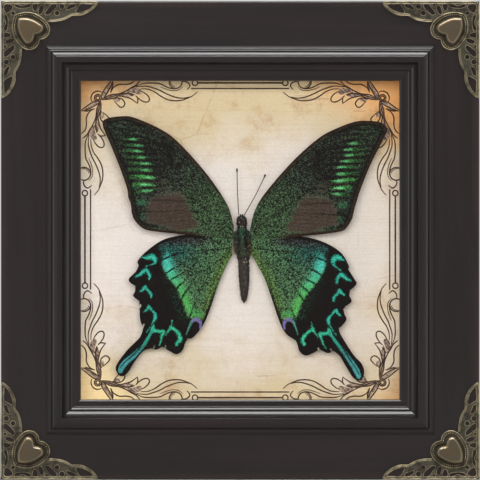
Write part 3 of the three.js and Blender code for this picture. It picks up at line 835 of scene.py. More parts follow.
scrollLines = [       # mm from the opening's corner, one half; the other half is its mirror image
    [knot["root"], (7.99, 4.9), (9.72, 2.21), (11.25, 0.19), (11.73, -0.67)],
    [(8.2, 7.0), (9.14, 5.86), (10.68, 3.36), (11.64, 1.44), (12.12, -0.67)],
    [(12.02, 0.1), (12.12, 1.63), (11.64, 2.98), (11.25, 4.51)],
    [(11.25, 4.51), (12.21, 2.69), (13.75, 1.63), (15.09, 1.29), (17.01, 1.35), (18.93, 0.96), (20.09, 0.1),
     (20.66, -0.67)],
    [(22.39, -0.09), (20.85, 1.63), (18.55, 2.79)],
    [knot["root"], (8.9, 6.5), (11.25, 5.28), (14.33, 4.9), (16.63, 4.03), (18.93, 2.79), (20.85, 2.11)],
    [knot["root"], (9.4, 7.1), (12.02, 6.62), (14.33, 5.76), (16.05, 5.95), (18.55, 6.62), (20.09, 7.58),
     (21.39, 8.6)],
    [(9.0, 6.8), (11.6, 6.0), (14.0, 5.3), (16.5, 4.9), (18.6, 4.8), (20.4, 5.3)],
    [(21.39, 8.6), (21.47, 6.62), (20.66, 5.57)],
    [(12.02, 7.01), (13.94, 6.43), (15.67, 7.01), (16.63, 8.54), (16.05, 9.7), (15.09, 9.98), (13.94, 9.12),
     (12.6, 7.58)],
    [(22.58, 3.94), (23.93, 4.51), (25.46, 5.86), (25.85, 7.2), (25.08, 7.97), (23.54, 7.78), (22.01, 6.82),
     (20.66, 5.57)],
    [(17.59, 4.13), (19.13, 5.28), (19.89, 5.66)],
    [(20.85, 2.11), (22.77, 1.25), (24.69, 0.87), (27.57, 0.87), (29.84, 1.11), (31.52, 1.92), (33.47, 2.73),
     (35.73, 2.99), (37.52, 2.08), (38.33, 0.46)],
    [(38.33, 0.33), (39.3, 0.27), (40.43, 0.78), (41.08, 1.92), (40.01, 3.38)],
    [(20.85, 2.31), (24.69, 2.02), (27.57, 2.79), (29.84, 3.64), (32.49, 5), (36.06, 6.29), (38.65, 6.52),
     (40.92, 6.07)],
    [(22.58, 3.02), (25.27, 3.17), (27.77, 4.13), (29.84, 5.58), (32.49, 7), (35.09, 7.52), (37.68, 7.39),
     (39.62, 6.78), (41.89, 5.81), (43.83, 4.19)],
]
scrollThin = [
    [(29.9, 2.24), (31.85, 3.05), (34.44, 3.7), (36.71, 3.47), (38.39, 2.24)],
    [(33.79, -0.19), (33.95, 1.11), (34.92, 2.08), (35.57, 2.24)],
]
washShapes = [
    [(17.59, 3.75), (19.89, 2.59), (22.39, 3.17), (23.06, 4.71), (22.01, 5.28), (20.47, 4.71), (18.93, 4.42)],
    [(7.7, 7.0), (9.34, 6.3), (11.64, 5.38), (14.33, 4.99), (16.63, 4.42), (18.17, 4.51), (19.32, 5.47),
     (18.17, 6.24), (16.05, 5.66), (13.94, 5.57), (11.64, 6.43), (9.34, 7.0)],
    [(7.7, 6.9), (8.18, 5.09), (9.91, 2.59), (11.45, 0.67), (11.83, 1.06), (11.06, 2.79), (9.34, 5.47),
     (8.3, 6.8)],
    [(12.1, 7.0), (13.6, 6.5), (14.9, 6.8), (14.6, 7.7), (13.4, 8.0)],
]
rules = {             # the straight rules: distance in, how far each way from the middle, and their rings
    "outer": 0.79, "outerReach": 15.9, "ringAt": 17.0, "ringSize": 1.02, "inner": 2.9, "innerReach": 18.5,
    "outerLine": 0.31, "innerLine": 0.25,
}


def upright(points, along):  # the same arm beside an upright edge
    moved = []
    for a, b in swapped(points):
        far = float(step(np.array(b), 5.0, 12.0))
        moved.append((a + border["uprightIn"] * far, b - along * far))
    return moved


def tapered(points, radius, steps=6):  # full width in the middle, thinner at both ends
    line = smoothLine(points, steps)
    t = np.linspace(0, 1, len(line))
    width = 0.6 + 0.4 * np.minimum(1, 4 * np.minimum(t, 1 - t))
    return [(a, b, 0, radius * w) for (a, b), w in zip(line, width)]


def addRibbons(bm, lines, closed, height, radius=1.0):
    mesh = curveMesh(lines, closed, dimensions="3D", bevel_depth=radius, bevel_resolution=0,
                     use_fill_caps=not closed)
    gather(bm, mesh, Matrix.Translation((0, 0, height)) @ Matrix.Diagonal((1, 1, border["flat"], 1)))


def buildOrnament(along):
    inks, washes = bmesh.new(), bmesh.new()
    middle, lift = 60.0, border["inkLift"]
    turns = (list, lambda points: upright(points, along))
    for turn in turns:
        lines = [tapered(turn(line), border["line"]) for line in scrollLines]
        lines += [tapered(turn(line), border["thin"]) for line in scrollThin]
        for distance, reach, radius in ((rules["outer"], rules["outerReach"], rules["outerLine"]),
                                        (rules["inner"], rules["innerReach"], rules["innerLine"])):
            rule = turn([(middle - reach, distance), (middle + along, distance)])
            lines.append([(a, b, 0, radius) for a, b in rule])
        addRibbons(inks, lines, False, lift)
        rings = [roundLine(35.73, 0.46, 2.43), roundLine(middle - rules["ringAt"], rules["outer"], rules["ringSize"])]
        addRibbons(inks, [[(a, b, 0, border["line"]) for a, b in turn(ring)] for ring in rings], True, lift)
        for shape in washShapes:
            outline = turnedTo(smoothLine(turn(shape), 4, True), True)
            gather(washes, curveMesh([outline], True, dimensions="2D", fill_mode="FRONT"),
                   Matrix.Translation((0, 0, border["washLift"])))
    rings = [[(a, b, 0, border["line"]) for a, b in roundLine(knot["at"], knot["at"], radius)]
             for radius in knot["rings"]]
    addRibbons(inks, rings, True, lift)
    addRibbons(inks, [tapered(collar, border["line"])], False, lift)
    return inks, washes


def printMaterials():
    s = Shader("scroll_ink")
    fade = s.noise(s.objectPlace(), 240.0, 4.0)
    ink = s.set(Base_Color=s.mix(s.ramp(fade, 0.4, 0.8), srgb(62, 46, 38), srgb(106, 82, 62)),
                Roughness=0.8, Specular_IOR_Level=0.15)
    s = Shader("scroll_wash")
    where = s.separate(s.objectPlace())
    slope = s.math("MULTIPLY", s.math("ADD", where[0], where[2]), 4300.0)
    cloud = s.noise(s.objectPlace(), 620.0, 3.0, 0.6)
    hatch = s.math("ADD", s.math("MULTIPLY", s.math("SINE", slope), 0.07), cloud)
    wash = s.set(Base_Color=s.mix(s.ramp(hatch, 0.34, 0.66), srgb(92, 76, 72), srgb(176, 152, 132)),
                 Roughness=0.85, Specular_IOR_Level=0.15)
    return ink, wash


def makeBorder():
    ink, wash = printMaterials()
    low, high = (buildOrnament(along) for along in border["uprightUp"])
    face, size = woodBack - border["cardDepth"], border["spread"]
    for index, label, material in ((0, "lines", ink), (1, "wash", wash)):
        whole = bmesh.new()
        for up, templates in ((-1, low), (1, high)):
            for right in (-1, 1):
                part = bpy.data.meshes.new("draft")
                templates[index].to_mesh(part)
                matrix = Matrix(((-right * size, 0, 0, right * 60.0 * size), (0, 0, -1, face),
                                 (0, -up * size, 0, middleZ + up * 60.0 * size), (0, 0, 0, 1)))
                gather(whole, part, Matrix.Scale(mm, 4) @ matrix)
            templates[index].free()
        mesh = bpy.data.meshes.new("card_border_" + label)
        whole.to_mesh(mesh)
        whole.free()
        addPiece("card_border_" + label, mesh, [material], "printed_card")


# wings

def wingOutline(rows):  # rows of points that meet at notches
    return np.vstack([smoothLine(row, 5)[:-1] for row in rows])


foreRight = [
    [(3.7, 4.2), (5.6, 11.4), (9.8, 18.3), (20.2, 30.2), (30.1, 38.9), (37.7, 42.8), (43.9, 44.9), (49.2, 45.1),
     (53.1, 44.5), (55, 42.8), (55.2, 40.5), (50, 30.2), (46.9, 22.9), (45, 17.9)],
    [(45, 17.9), (43.3, 12.1), (42.4, 8.3)],
    [(42.4, 8.3), (40.4, 4.9), (37.7, 3.3), (30.1, 2.2), (18.8, 1.2), (4, 0.3)],
    [(4, 0.3), (3.7, 4.2)],
]
foreLeft = [
    [(-2.4, 5.4), (-4.8, 13.3), (-12.1, 24.4), (-22.8, 36.5), (-29.7, 41.8), (-39.3, 46.1), (-44.1, 46.9),
     (-50.6, 45.9), (-51.9, 43.4), (-48.9, 36), (-45.4, 27.3), (-43.5, 22)],
    [(-43.5, 22), (-42.6, 19.1), (-42.3, 16.3)],
    [(-42.3, 16.3), (-41.3, 13.4), (-41, 10.5)],
    [(-41, 10.5), (-39.9, 7.6), (-36.4, 4.3), (-31.6, 3.3), (-24.3, 2.5), (-15.1, 1.6), (-2.6, 0.3)],
    [(-2.6, 0.3), (-2.4, 5.4)],
]
hindRight = [
    [(4.3, 1.3), (12, 2.0), (19.5, 2.0), (30.1, -0.1), (37.7, -4.3), (41, -9.4), (40.8, -10.9)],
    [(40.8, -10.9), (42.7, -13.9), (44, -16.5), (41.6, -18.9)],
    [(41.6, -18.9), (41.3, -20.9), (42.1, -23.2), (39.6, -25.1)],
    [(39.6, -25.1), (39.3, -27.4), (40.2, -30), (38.1, -32.7)],
    [(38.1, -32.7), (37.7, -35), (42.7, -43.1), (45.8, -46.5), (46.9, -49.6), (46.2, -52.3), (45, -53),
     (42.7, -51.9), (40, -47.7), (37.7, -43.8), (35.1, -41.7)],
    [(35.1, -41.7), (33.1, -42.7), (30.1, -41.2)],
    [(30.1, -41.2), (27.4, -42.7), (24.7, -43.6), (22.4, -41.9), (21.3, -38.4), (19.4, -36.9)],
    [(19.4, -36.9), (17.1, -35), (14.6, -30), (9.8, -15.9), (6.7, -9.7), (4.2, -5.2)],
    [(4.2, -5.2), (4.3, 1.3)],
]
hindLeft = [
    [(-3, 1.3), (-12, 2.3), (-18, 2.3), (-24.1, 1.6), (-29.9, -0.2), (-35.7, -4.4), (-38.7, -7.8), (-38.3, -9.4)],
    [(-38.3, -9.4), (-39.5, -11.9), (-42.2, -15), (-39.7, -17.3)],
    [(-39.7, -17.3), (-39.7, -19.2), (-40.4, -21.1), (-38.1, -23)],
    [(-38.1, -23), (-37.8, -30), (-36.6, -32.7)],
    [(-36.6, -32.7), (-37.8, -36.5), (-42.4, -41.2), (-46.2, -46.2), (-47, -48.8), (-45.4, -51.3),
     (-42.8, -50.4), (-39.7, -45.7), (-36.6, -41.9), (-33.6, -40.8)],
    [(-33.6, -40.8), (-31.6, -41.3), (-29.4, -40.2)],
    [(-29.4, -40.2), (-26.7, -41.9), (-24, -43.1), (-21.7, -41.5), (-20.8, -38.9), (-19.8, -37.1)],
    [(-19.8, -37.1), (-17.5, -36.5), (-12.9, -30), (-7.9, -15.9), (-5.2, -9.7), (-2.9, -5.5)],
    [(-2.9, -5.5), (-3, 1.3)],
]

forePairs = [         # the same mark on the right wing and on the left wing
    ((41.1, 34.2), (-39, 35.8)), ((41.3, 32.2), (-38.8, 33.7)), ((39.9, 29.9), (-37.4, 31.3)),
    ((38.9, 27.6), (-36, 29)), ((38.4, 25.1), (-36, 26.6)), ((38, 22.5), (-35, 23.8)),
    ((38, 19.8), (-36.4, 21.1)), ((37, 17.4), (-36, 18.6)), ((38.8, 13.4), (-37.4, 14.2)),
    ((37.8, 8.5), (-36.6, 9.9)), ((36.1, 4.2), (-33, 4.6)), ((3.7, 4.2), (-2.4, 5.4)), ((4, 0.3), (-2.6, 0.3)),
    ((55.2, 41.5), (-51.6, 44.5)), ((43.9, 44.9), (-42.5, 46.8)), ((30.1, 38.9), (-29, 41.4)),
    ((20.2, 30.2), (-18.5, 32)), ((9.8, 18.3), (-8.6, 19.4)), ((45, 17.9), (-42.4, 18)),
    ((42.4, 8.3), (-41, 10.5)), ((50, 30.2), (-47, 31.5)),
]
hindPairs = [
    ((4.8, -1.4), (-3.4, -1.4)), ((40.8, -8.9), (-38.7, -7.7)), ((44, -16.5), (-41.9, -15)),
    ((42, -23.6), (-40.2, -22)), ((40, -30.8), (-38.5, -29)), ((45.5, -53), (-46, -51)),
    ((33.4, -42.4), (-31.5, -41.2)), ((23.6, -43), (-24.1, -43)), ((19.1, -36.8), (-17.6, -36.9)),
    ((30.5, -9.7), (-27.7, -9.2)), ((25.7, -17.6), (-23.8, -16)), ((21.4, -24.7), (-19.8, -24.4)),
    ((36.6, -6.5), (-33.5, -6.3)), ((38.3, -13.5), (-35.8, -11.7)), ((37.4, -19.1), (-35.7, -17.7)),
    ((36.1, -26.8), (-34.5, -25.5)), ((33.7, -34.5), (-33, -33.6)), ((27.2, -33.6), (-25.9, -32.8)),
    ((19.1, -31.9), (-17.4, -31.9)), ((12.7, -19.5), (-11, -19.5)), ((28.5, -1), (-26.4, -0.3)),
]

foreVeins = [
    [(28.8, 33.7), (33.6, 35.1), (39.4, 37.4), (47.6, 39.2), (53.6, 41.4)],
    [(29.1, 32.7), (33.6, 34.2), (39.9, 35.4), (48.8, 35.9), (52.1, 35.9)],
    [(29.1, 31.5), (34.1, 32.7), (40.4, 33.2), (47.6, 33.7), (51.2, 33.2)],
    [(29.1, 30.3), (34.1, 31.1), (40.4, 31.2), (46.4, 31.5), (50.2, 31.1)],
    [(29.1, 28.9), (34.1, 28.8), (40.4, 28.8), (45.6, 29.1), (49.2, 28.7)],
    [(29.1, 27.2), (34.1, 26.5), (39.9, 26.4), (44.7, 26.5), (48, 26.3)],
    [(29.1, 25.5), (33.2, 24.3), (39.2, 24), (44.2, 24.2), (47.1, 23.6)],
    [(29.3, 23.1), (34.1, 21.2), (39.2, 21.1), (43.5, 21.2), (46.1, 21)],
    [(29.1, 20), (34.1, 18.6), (37.5, 18.6), (42.3, 17.6), (44.7, 17.9)],
    [(4.9, 3), (12.1, 9), (17.2, 12.4), (22.9, 16.2), (28.2, 20.5), (30.4, 23.6)],
    [(4.4, 4.2), (10, 15.6), (20.4, 28.2), (29, 35.6)],
    [(12.1, 9), (24, 10), (34, 9.6), (42.2, 9)],
]
foreStreaks = [
    [(40.8, 36.3, 0.29), (42.5, 36.6, 0.48), (44.7, 36.9, 0.24)],
    [(38.7, 34.1, 0.12), (41.1, 34.2, 0.48), (43, 34.2, 0.43), (44.7, 34.1, 0.14)],
    [(38.9, 32, 0.12), (41.3, 32.2, 0.48), (43, 32.4, 0.43), (44.7, 32.6, 0.14)],
    [(37.5, 29.8, 0.12), (39.9, 29.9, 0.53), (42.5, 30, 0.43), (44.2, 30, 0.14)],
    [(35.6, 27.5, 0.12), (38.9, 27.6, 0.48), (41.1, 27.7, 0.43), (43, 27.8, 0.14)],
    [(35.3, 24.8, 0.12), (38.4, 25.1, 0.58), (41.1, 25.4, 0.43), (43, 25.5, 0.14)],
    [(34.1, 22.3, 0.14), (38, 22.5, 0.62), (40.4, 22.8, 0.67), (42.2, 22.9, 0.43), (43, 22.9, 0.14)],
    [(34.1, 19.5, 0.12), (38, 19.8, 0.62), (40.4, 20, 0.53), (42, 20.1, 0.34)],
    [(33.4, 17.7, 0.12), (37, 17.4, 0.48), (39.4, 17.3, 0.34), (40.4, 17.1, 0.14)],
]
foreUpper = [         # faint streaks towards the tip
    [(37.5, 38.2, 0.2), (42, 38.7, 0.42), (47.5, 39.2, 0.2)],
    [(40, 40.4, 0.2), (45, 40.9, 0.4), (50.5, 41.2, 0.15)],
    [(43, 42.5, 0.15), (47, 42.9, 0.35), (51.5, 42.9, 0.12)],
]
foreBrown = [         # brown fur between the lowest streaks
    [(28.5, 20.7, 0.4), (32.5, 20.9, 0.75), (36.5, 21.0, 0.4), (42, 21.1, 0.2)],
    [(28.5, 18.4, 0.4), (32, 18.5, 0.6), (36, 18.6, 0.3)],
]
foreFaint = [
    [(39.2, 18.6, 0.53), (41.6, 18.6, 0.62)], [(38, 13.3, 1.2), (39.6, 13.5, 1.32)],
    [(37.8, 8.5, 0.72), (38.8, 6.4, 0.48)], [(33.3, 3.5, 0.43), (36.1, 4.2, 0.58), (38.8, 4.7, 0.38)],
]
foreBrand = [(24.4, 17.6), (30.1, 17.2), (34, 16.7), (36.4, 13.8), (37.3, 10), (37.8, 5.6), (33, 4), (25.8, 2),
             (17.2, 3), (16.2, 4.7), (18.4, 8), (20.5, 12.4), (22.2, 15.2)]
foreNotches = [(47.6, 24.1), (45, 17.4), (43.3, 12.6)]

hindVeins = [
    [(3.7, -2.3), (15.2, 0.2), (26.7, 0.2), (34.8, -3.2), (40.8, -9)],
    [(4.6, -2.9), (15.2, -4.2), (24.4, -5.4), (31.3, -7.5), (35.7, -9.5), (42, -15)],
    [(18.1, -7.5), (26.7, -10.8), (30.3, -12.9), (37.1, -17), (42, -23.6)],
    [(19.8, -10.4), (25.6, -15), (28.5, -16.7), (35.1, -22.8), (40, -30.8)],
    [(19.8, -13), (23.6, -17.6), (25.9, -19.8), (32.5, -30.3), (37.7, -38)],
    [(18.1, -14.1), (21.6, -19.3), (24.4, -23.9), (28.5, -34), (32.5, -41.2)],
    [(12.3, -11.8), (16.4, -18.2), (19.3, -25.7), (21.3, -31.1), (22.1, -35.5), (23.6, -42.4)],
    [(4.9, -3.8), (9.5, -11), (13.2, -19.9), (15.8, -28.3)],
    [(4.6, -2.9), (11.8, -3.8), (16.4, -5.5), (19.8, -10.4)],
    [(4.9, -3.8), (9.5, -7.5), (15.2, -11.8), (19.8, -13), (19.8, -10.4)],
]
hindLunules = [
    [(35.1, -9.1, 0.4), (35.2, -7.9, 0.95), (35.9, -6.8, 1.2), (36.9, -6.5, 1.15), (38.2, -7.1, 0.7),
     (39.3, -7.6, 0.25)],
    [(35.1, -9.1, 0.4), (36.2, -10.1, 0.23), (38, -11.4, 0.14)],
    [(36.5, -16, 0.52), (36.7, -14.9, 0.63), (37.8, -13, 0.63), (38.7, -13.3, 0.86), (40.3, -14.6, 0.63),
     (41.7, -15.3, 0.29)],
    [(35.4, -22.8, 0.4), (35.5, -21.6, 0.58), (36.8, -20.2, 0.46), (37.5, -19, 0.63), (38.3, -19.9, 0.58),
     (39.6, -20.9, 0.17)],
    [(38, -28.7, 0.14), (36.5, -27.1, 0.52), (36.1, -26.5, 0.63), (34.5, -28.3, 0.4), (33.4, -29.7, 0.75),
     (33.5, -31.4, 0.58), (34.2, -32.9, 0.23), (36.2, -35.7, 0.17)],
    [(33.5, -33, 0.29), (33.8, -34.6, 1.15), (32.5, -35.2, 0.63), (30.1, -35.5, 0.72), (30.6, -36.6, 0.52),
     (31.3, -38.9, 0.29), (32.4, -40.9, 0.12)],
    [(27, -31.1, 0.09), (27.2, -32.9, 0.23), (27.3, -33.7, 0.69), (25.9, -34.6, 0.58), (24.4, -36, 0.69),
     (23.6, -38, 0.81), (24.3, -39.2, 0.58), (23.9, -39.8, 0.29)],
    [(27.6, -34, 0.46), (28.8, -35.7, 0.17), (29.3, -36.6, 0.12)],
]
tailStripe = [(33.8, -35, 0.72), (35, -36.7, 0.53), (36.2, -38.4, 0.62), (38.1, -40.8, 0.77), (40.8, -44.4, 0.96),
              (42.9, -47.5, 1.1), (44.4, -50.2, 1.1), (44.8, -51.6, 0.82)]
tailVein = [(33.1, -31.7, 0.17), (35, -34.8, 0.19), (37.4, -38.6, 0.19), (40.8, -43.9, 0.22), (43.6, -48.2, 0.22),
            (45, -50.6, 0.14)]
eyeCrescent = [(16.8, -33.6, 0.3), (16.6, -32.2, 0.5), (17.0, -30.7, 0.58), (18.4, -29.9, 0.55),
               (19.8, -30.7, 0.48), (20.7, -32.3, 0.38), (21.3, -34, 0.28), (21.8, -35.7, 0.17)]
brightBand = [(30.3, -5.7, 1.3), (30.5, -9.5, 2.16), (28.2, -14.3, 2.02), (25.7, -17.5, 1.79),
              (23.8, -20.3, 1.58), (22.1, -23.4, 1.44), (21, -26.2, 1.44), (20.3, -28.3, 1.15)]
hindNotches = [((41.7, -19.3), 0.4), ((39.5, -26.4), 0.95), ((37.8, -33.7), 0.9), ((34.5, -41.6), 0.6),
               ((29.7, -41.3), 0.9), ((21, -38.3), 0.6)]


def toRight(x, z, pairs):  # places on a left wing, moved to where the right wing has the same mark
    x = -x
    shiftX, shiftZ, total = np.zeros(len(x)), np.zeros(len(x)), np.zeros(len(x))
    for (rightX, rightZ), (leftX, leftZ) in pairs:
        weight = 1 / ((x + leftX) ** 2 + (z - leftZ) ** 2 + 0.6) ** 1.6
        shiftX += weight * (rightX + leftX)
        shiftZ += weight * (rightZ - leftZ)
        total += weight
    return x + shiftX / total, z + shiftZ / total


def stroke(x, z, points, soft=0.25, widen=0.0):  # 1 inside a tapering stroke, fading over its edge
    line = smoothLine(points, 4)
    value = np.zeros(len(x))
    for a, b in zip(line[:-1], line[1:]):
        d = b[:2] - a[:2]
        t = np.clip(((x - a[0]) * d[0] + (z - a[1]) * d[1]) / max(d @ d, 1e-12), 0, 1)
        away = np.hypot(x - a[0] - t * d[0], z - a[1] - t * d[1])
        value = np.maximum(value, np.clip((a[2] + t * (b[2] - a[2]) + widen - away) / soft + 0.5, 0, 1))
    return value


def lineOf(points, radius):
    return [(a, b, radius) for a, b in points]


class Paint:  # the colour of the scales at each place and how many of them are lit

    def __init__(self, count, colour, cover):
        self.tint = np.tile(np.array(srgb(*colour)), (count, 1))
        self.cover = np.full(count, float(cover))

    def lay(self, mask, colour=None, cover=None):
        if colour is not None:
            self.tint += mask[:, None] * (np.array(srgb(*colour)) - self.tint)
        if cover is not None:
            self.cover += mask * (cover - self.cover)


def step(value, low, high):
    t = np.clip((value - low) / (high - low), 0, 1)
    return t * t * (3 - 2 * t)


def paintFore(x, z, edge):
    base = np.hypot(x - 4, z - 3)
    paint = Paint(len(x), (94, 126, 86), 0.5)
    paint.lay(step(base, 10, 36), (86, 100, 84), 0.35)
    paint.lay(step(base, 40, 62), (92, 110, 86), 0.38)
    crease = sum(stroke(x, z, lineOf(v, 0.22), 0.7) for v in foreVeins)
    for streak in foreStreaks + foreUpper:
        shifted = [(a + 1.6, b, 0.7) for a, b, r in streak[1:]]
        paint.lay((0.6 if streak in foreStreaks else 0.2) * stroke(x, z, shifted, 1.4), (64, 130, 62), 0.6)
        between = [(a + shift, b + 1.2, 0.3) for (a, b, r), shift in ((streak[0], -2), (streak[-1], 2))]
        paint.lay(0.7 * stroke(x, z, between, 0.9), None, 0.08)
        back = [(a - 2.8, b, 0.6) for a, b, r in streak[:2]]
        paint.lay(0.4 * stroke(x, z, back, 1.4), None, 0.28)
    for patch in foreBrown:
        paint.lay(stroke(x, z, patch, 1.2) * 0.85, (66, 47, 38), 0.95)
    brand = insideOutline(x, z, smoothLine(foreBrand, 3, True)).astype(float)
    brandEdge = nearestOn(x, z, np.vstack([foreBrand, foreBrand[:1]]))[0]
    furry = brand * step(brandEdge + 0.4 * np.sin(z * 2.3), -0.2, 1.8)
    paint.lay(furry, (88, 74, 63), 1.05)
    wave = np.sin(z * 3.1 + 0.9 * np.sin(x * 0.5 + z)) * np.sin(z * 7.7 + x * 0.35)
    paint.lay(furry * (0.3 + 0.3 * wave), (54, 44, 38), 0.95)
    paint.lay(furry * stroke(x, z, lineOf([(22, 13.6), (36, 14.2)], 0.3), 0.8) * 0.7, (40, 33, 29), 0.9)
    paint.lay(0.8 * stroke(x, z, lineOf([(28.5, 27.5), (29.5, 32.5)], 1.2), 1.5), None, 0.12)
    for mark in foreFaint:
        paint.lay(0.7 * stroke(x, z, mark, 0.9), (54, 118, 78), 0.8)
    paint.lay(np.clip(crease, 0, 1) * (0.4 + 0.35 * step(x, 26, 38)), None, 0.08)
    paint.lay(step(-edge, -2.6, -1.2) * step(x, 30, 40), None, 0.08)
    paint.lay(step(-edge, -1.5, -0.7) * step(base, 6, 16), (60, 42, 32), 0.75)
    for index, streak in enumerate(foreStreaks):
        strong = index in (6, 7)
        paint.lay(stroke(x, z, streak, 1.0) * 0.85, (84, 180, 84) if strong else (58, 134, 64), 0.68)
        (a0, b0, r0), (a1, b1, r1) = streak[:2]
        core = [(a0 + 0.35 * (a1 - a0), b0 + 0.35 * (b1 - b0), 0.1), (a1, b1, 0.32), (a1 + 1.2, b1, 0.1)]
        paint.lay(stroke(x, z, core, 0.8) * (0.9 if strong else 0.7), (132, 240, 158), 1.05)
    for streak in foreUpper:
        paint.lay(stroke(x, z, streak, 1.1) * 0.55, (72, 102, 72), 0.52)
    for notch in foreNotches:
        paint.lay(stroke(x, z, [(*notch, 0.2), (notch[0] + 0.3, notch[1] - 0.5, 0.2)], 0.4) * 0.7,
                  (186, 172, 146), 1.1)
    return paint, crease


def paintHind(x, z, edge):
    paint = Paint(len(x), (102, 146, 102), 0.56)
    up = step(z, -16, -4) * step(x, 12, 28)
    paint.lay(up, (56, 122, 112), 0.52)
    paint.lay(step(z, -4.5, 0.2) * step(x, 8, 20), (94, 92, 96), 0.4)
    inner = nearestOn(x, z, [(4.2, -5.2), (6.7, -9.7), (9.8, -15.9), (14.6, -30), (17.1, -35)])[0]
    paint.lay(step(-inner, -5.5, -0.8) * 0.9, (110, 142, 74), 0.68)
    middle = smoothLine(brightBand, 4)
    away, point, along = nearestOn(x, z, middle[:, :2])
    radius = np.interp(along, np.arange(len(middle)), middle[:, 2])
    outer = (x - point[:, 0]) * 0.8 - (z - point[:, 1]) * 0.45
    beyond = step(outer, 0.4, 3.2)
    paint.lay(beyond, (48, 92, 76), 0.07)
    sparse = stroke(x, z, [(30.5, -16, 1.2), (27, -22, 1.6), (24.5, -27, 1.8), (22.5, -31, 1.6)], 2.4)
    paint.lay(sparse * beyond * 0.7, (48, 116, 82), 0.36)
    lower = step(-z, 29.5, 33.5)
    paint.lay(lower, (48, 80, 66), 0.06)
    outsideBand = np.clip((radius * 0.75 - away) / 1.1 + 0.5, 0, 1)
    insideBand = np.clip((radius + 1.6 - away) / 3.2, 0, 1)
    band = np.where(outer > 0, outsideBand, insideBand)
    fade = step(-z, 4.2, 8.5)
    mint = step(-z, 8, 24)
    tone = np.stack([84 + 12 * mint, 210 - 16 * mint, 188 - 92 * mint], 1)
    linear = np.where(tone / 255 < 0.0404, tone / 3295, ((tone / 255 + 0.055) / 1.055) ** 2.4)
    strength = (band * (0.25 + 0.75 * fade))[:, None]
    paint.tint += strength * (linear - paint.tint)
    paint.cover += band * (0.25 + 0.75 * fade) * (0.94 - paint.cover)
    crease = sum(stroke(x, z, lineOf(v, 0.15), 0.45) for v in hindVeins)
    paint.lay(np.clip(crease, 0, 1) * 0.6, None, 0.1)
    gaps = sum(stroke(x, z, lineOf(v, 0.28), 0.5) for v in hindVeins[1:7])
    paint.lay(np.clip(gaps, 0, 1) * band * 0.9, (20, 60, 56), 0.12)
    paint.lay(step(-edge, -1.5, -0.5) * step(x, 7, 16), None, 0.05)
    paint.lay(stroke(x, z, [(18.6, -27.6, 1.3), (16.6, -28.2, 1.15)], 1.4) * 0.7, (84, 180, 98), 0.82)
    paint.lay(stroke(x, z, [(18.6, -32.4, 1.7), (19.1, -34, 1.6)], 0.9), (44, 34, 34), 0.25)
    paint.lay(stroke(x, z, [(18.4, -32.8, 0.6), (18.9, -33.6, 0.6)], 0.9) * 0.5, (72, 40, 58), 0.7)
    for index, mark in enumerate(hindLunules):
        colour = (56, 186, 140) if index in (5, 6, 7) else (44, 172, 152)
        paint.lay(stroke(x, z, mark, 0.8, 0.4) * 0.3, colour, 0.5)
        paint.lay(stroke(x, z, mark, 0.8), colour, 0.8)
        core = [(a, b, r * 0.4) for a, b, r in mark]
        paint.lay(stroke(x, z, core, 0.6) * 0.7, (84, 222, 186), 1.04)
    violet = 1 - step(x, 19.4, 20.3)
    paint.lay(stroke(x, z, eyeCrescent, 0.4) * violet, (134, 116, 182), 1.15)
    paint.lay(stroke(x, z, eyeCrescent, 0.4) * (1 - violet), (92, 160, 146), 1.1)
    tip = step(-z, 38, 47)
    paint.lay(stroke(x, z, tailStripe, 0.5) * (1 - tip), (54, 172, 146), 1.0)
    paint.lay(stroke(x, z, tailStripe, 0.5) * tip, (84, 172, 174), 1.0)
    paint.lay(stroke(x, z, tailVein, 0.35) * 0.75, (24, 50, 48), 0.2)
    for notch, strength in hindNotches:
        mark = stroke(x, z, [(notch[0] - 0.2, notch[1] + 0.5, 0.28), (notch[0], notch[1] - 0.4, 0.28)], 0.45)
        paint.lay(mark * strength, (228, 218, 190), 1.25)
    return paint, crease


wings = {             # mm: sheet spacing, thickness, how much the veins stand out and the sheet bows
    "step": 0.25, "thick": 0.14, "veinLift": 0.07, "bow": 0.35, "lift": math.sin(math.radians(2)),
    "foreBack": 12.98, "hindBack": 12.18,
}


def makeWing(name, rows, left, pairs, painter, back, material):
    outline = wingOutline(rows)
    bm = trimmedGrid(outline, wings["step"])
    places = np.array([v.co[:2] for v in bm.verts])
    x, z = places[:, 0], places[:, 1]
    edge = nearestOn(x, z, np.vstack([outline, outline[:1]]))[0]
    patternX, patternZ = toRight(x, z, pairs) if left else (x, z)
    paint, crease = painter(patternX, patternZ, edge)
    ripple = 0.05 * np.sin(patternX * 0.9 + patternZ * 0.5) * np.sin(patternZ * 0.7)
    depth = back + np.abs(x) * wings["lift"] + wings["veinLift"] * np.clip(crease, 0, 1)
    depth += wings["bow"] * np.sin(np.clip(np.abs(x) / 50, 0, 1) * math.pi) * 0.5 + ripple * step(edge, 0, 4)
    tintLayer = bm.verts.layers.float_color.new("tint")
    coverLayer = bm.verts.layers.float.new("cover")
    for v, d, colour, cover in zip(bm.verts, depth, paint.tint, paint.cover):
        v.co = at(v.co.x, d, v.co.y)
        v[tintLayer] = (*colour, 1)
        v[coverLayer] = cover
    mesh = bpy.data.meshes.new(name)
    bm.to_mesh(mesh)
    bm.free()
    mesh.shade_smooth()
    piece = addPiece(name + "_scaled", mesh, [material], name.split("_")[0], name)
    sheet = piece.modifiers.new("membrane", "SOLIDIFY")
    sheet.thickness = wings["thick"] * mm
    sheet.offset = -1


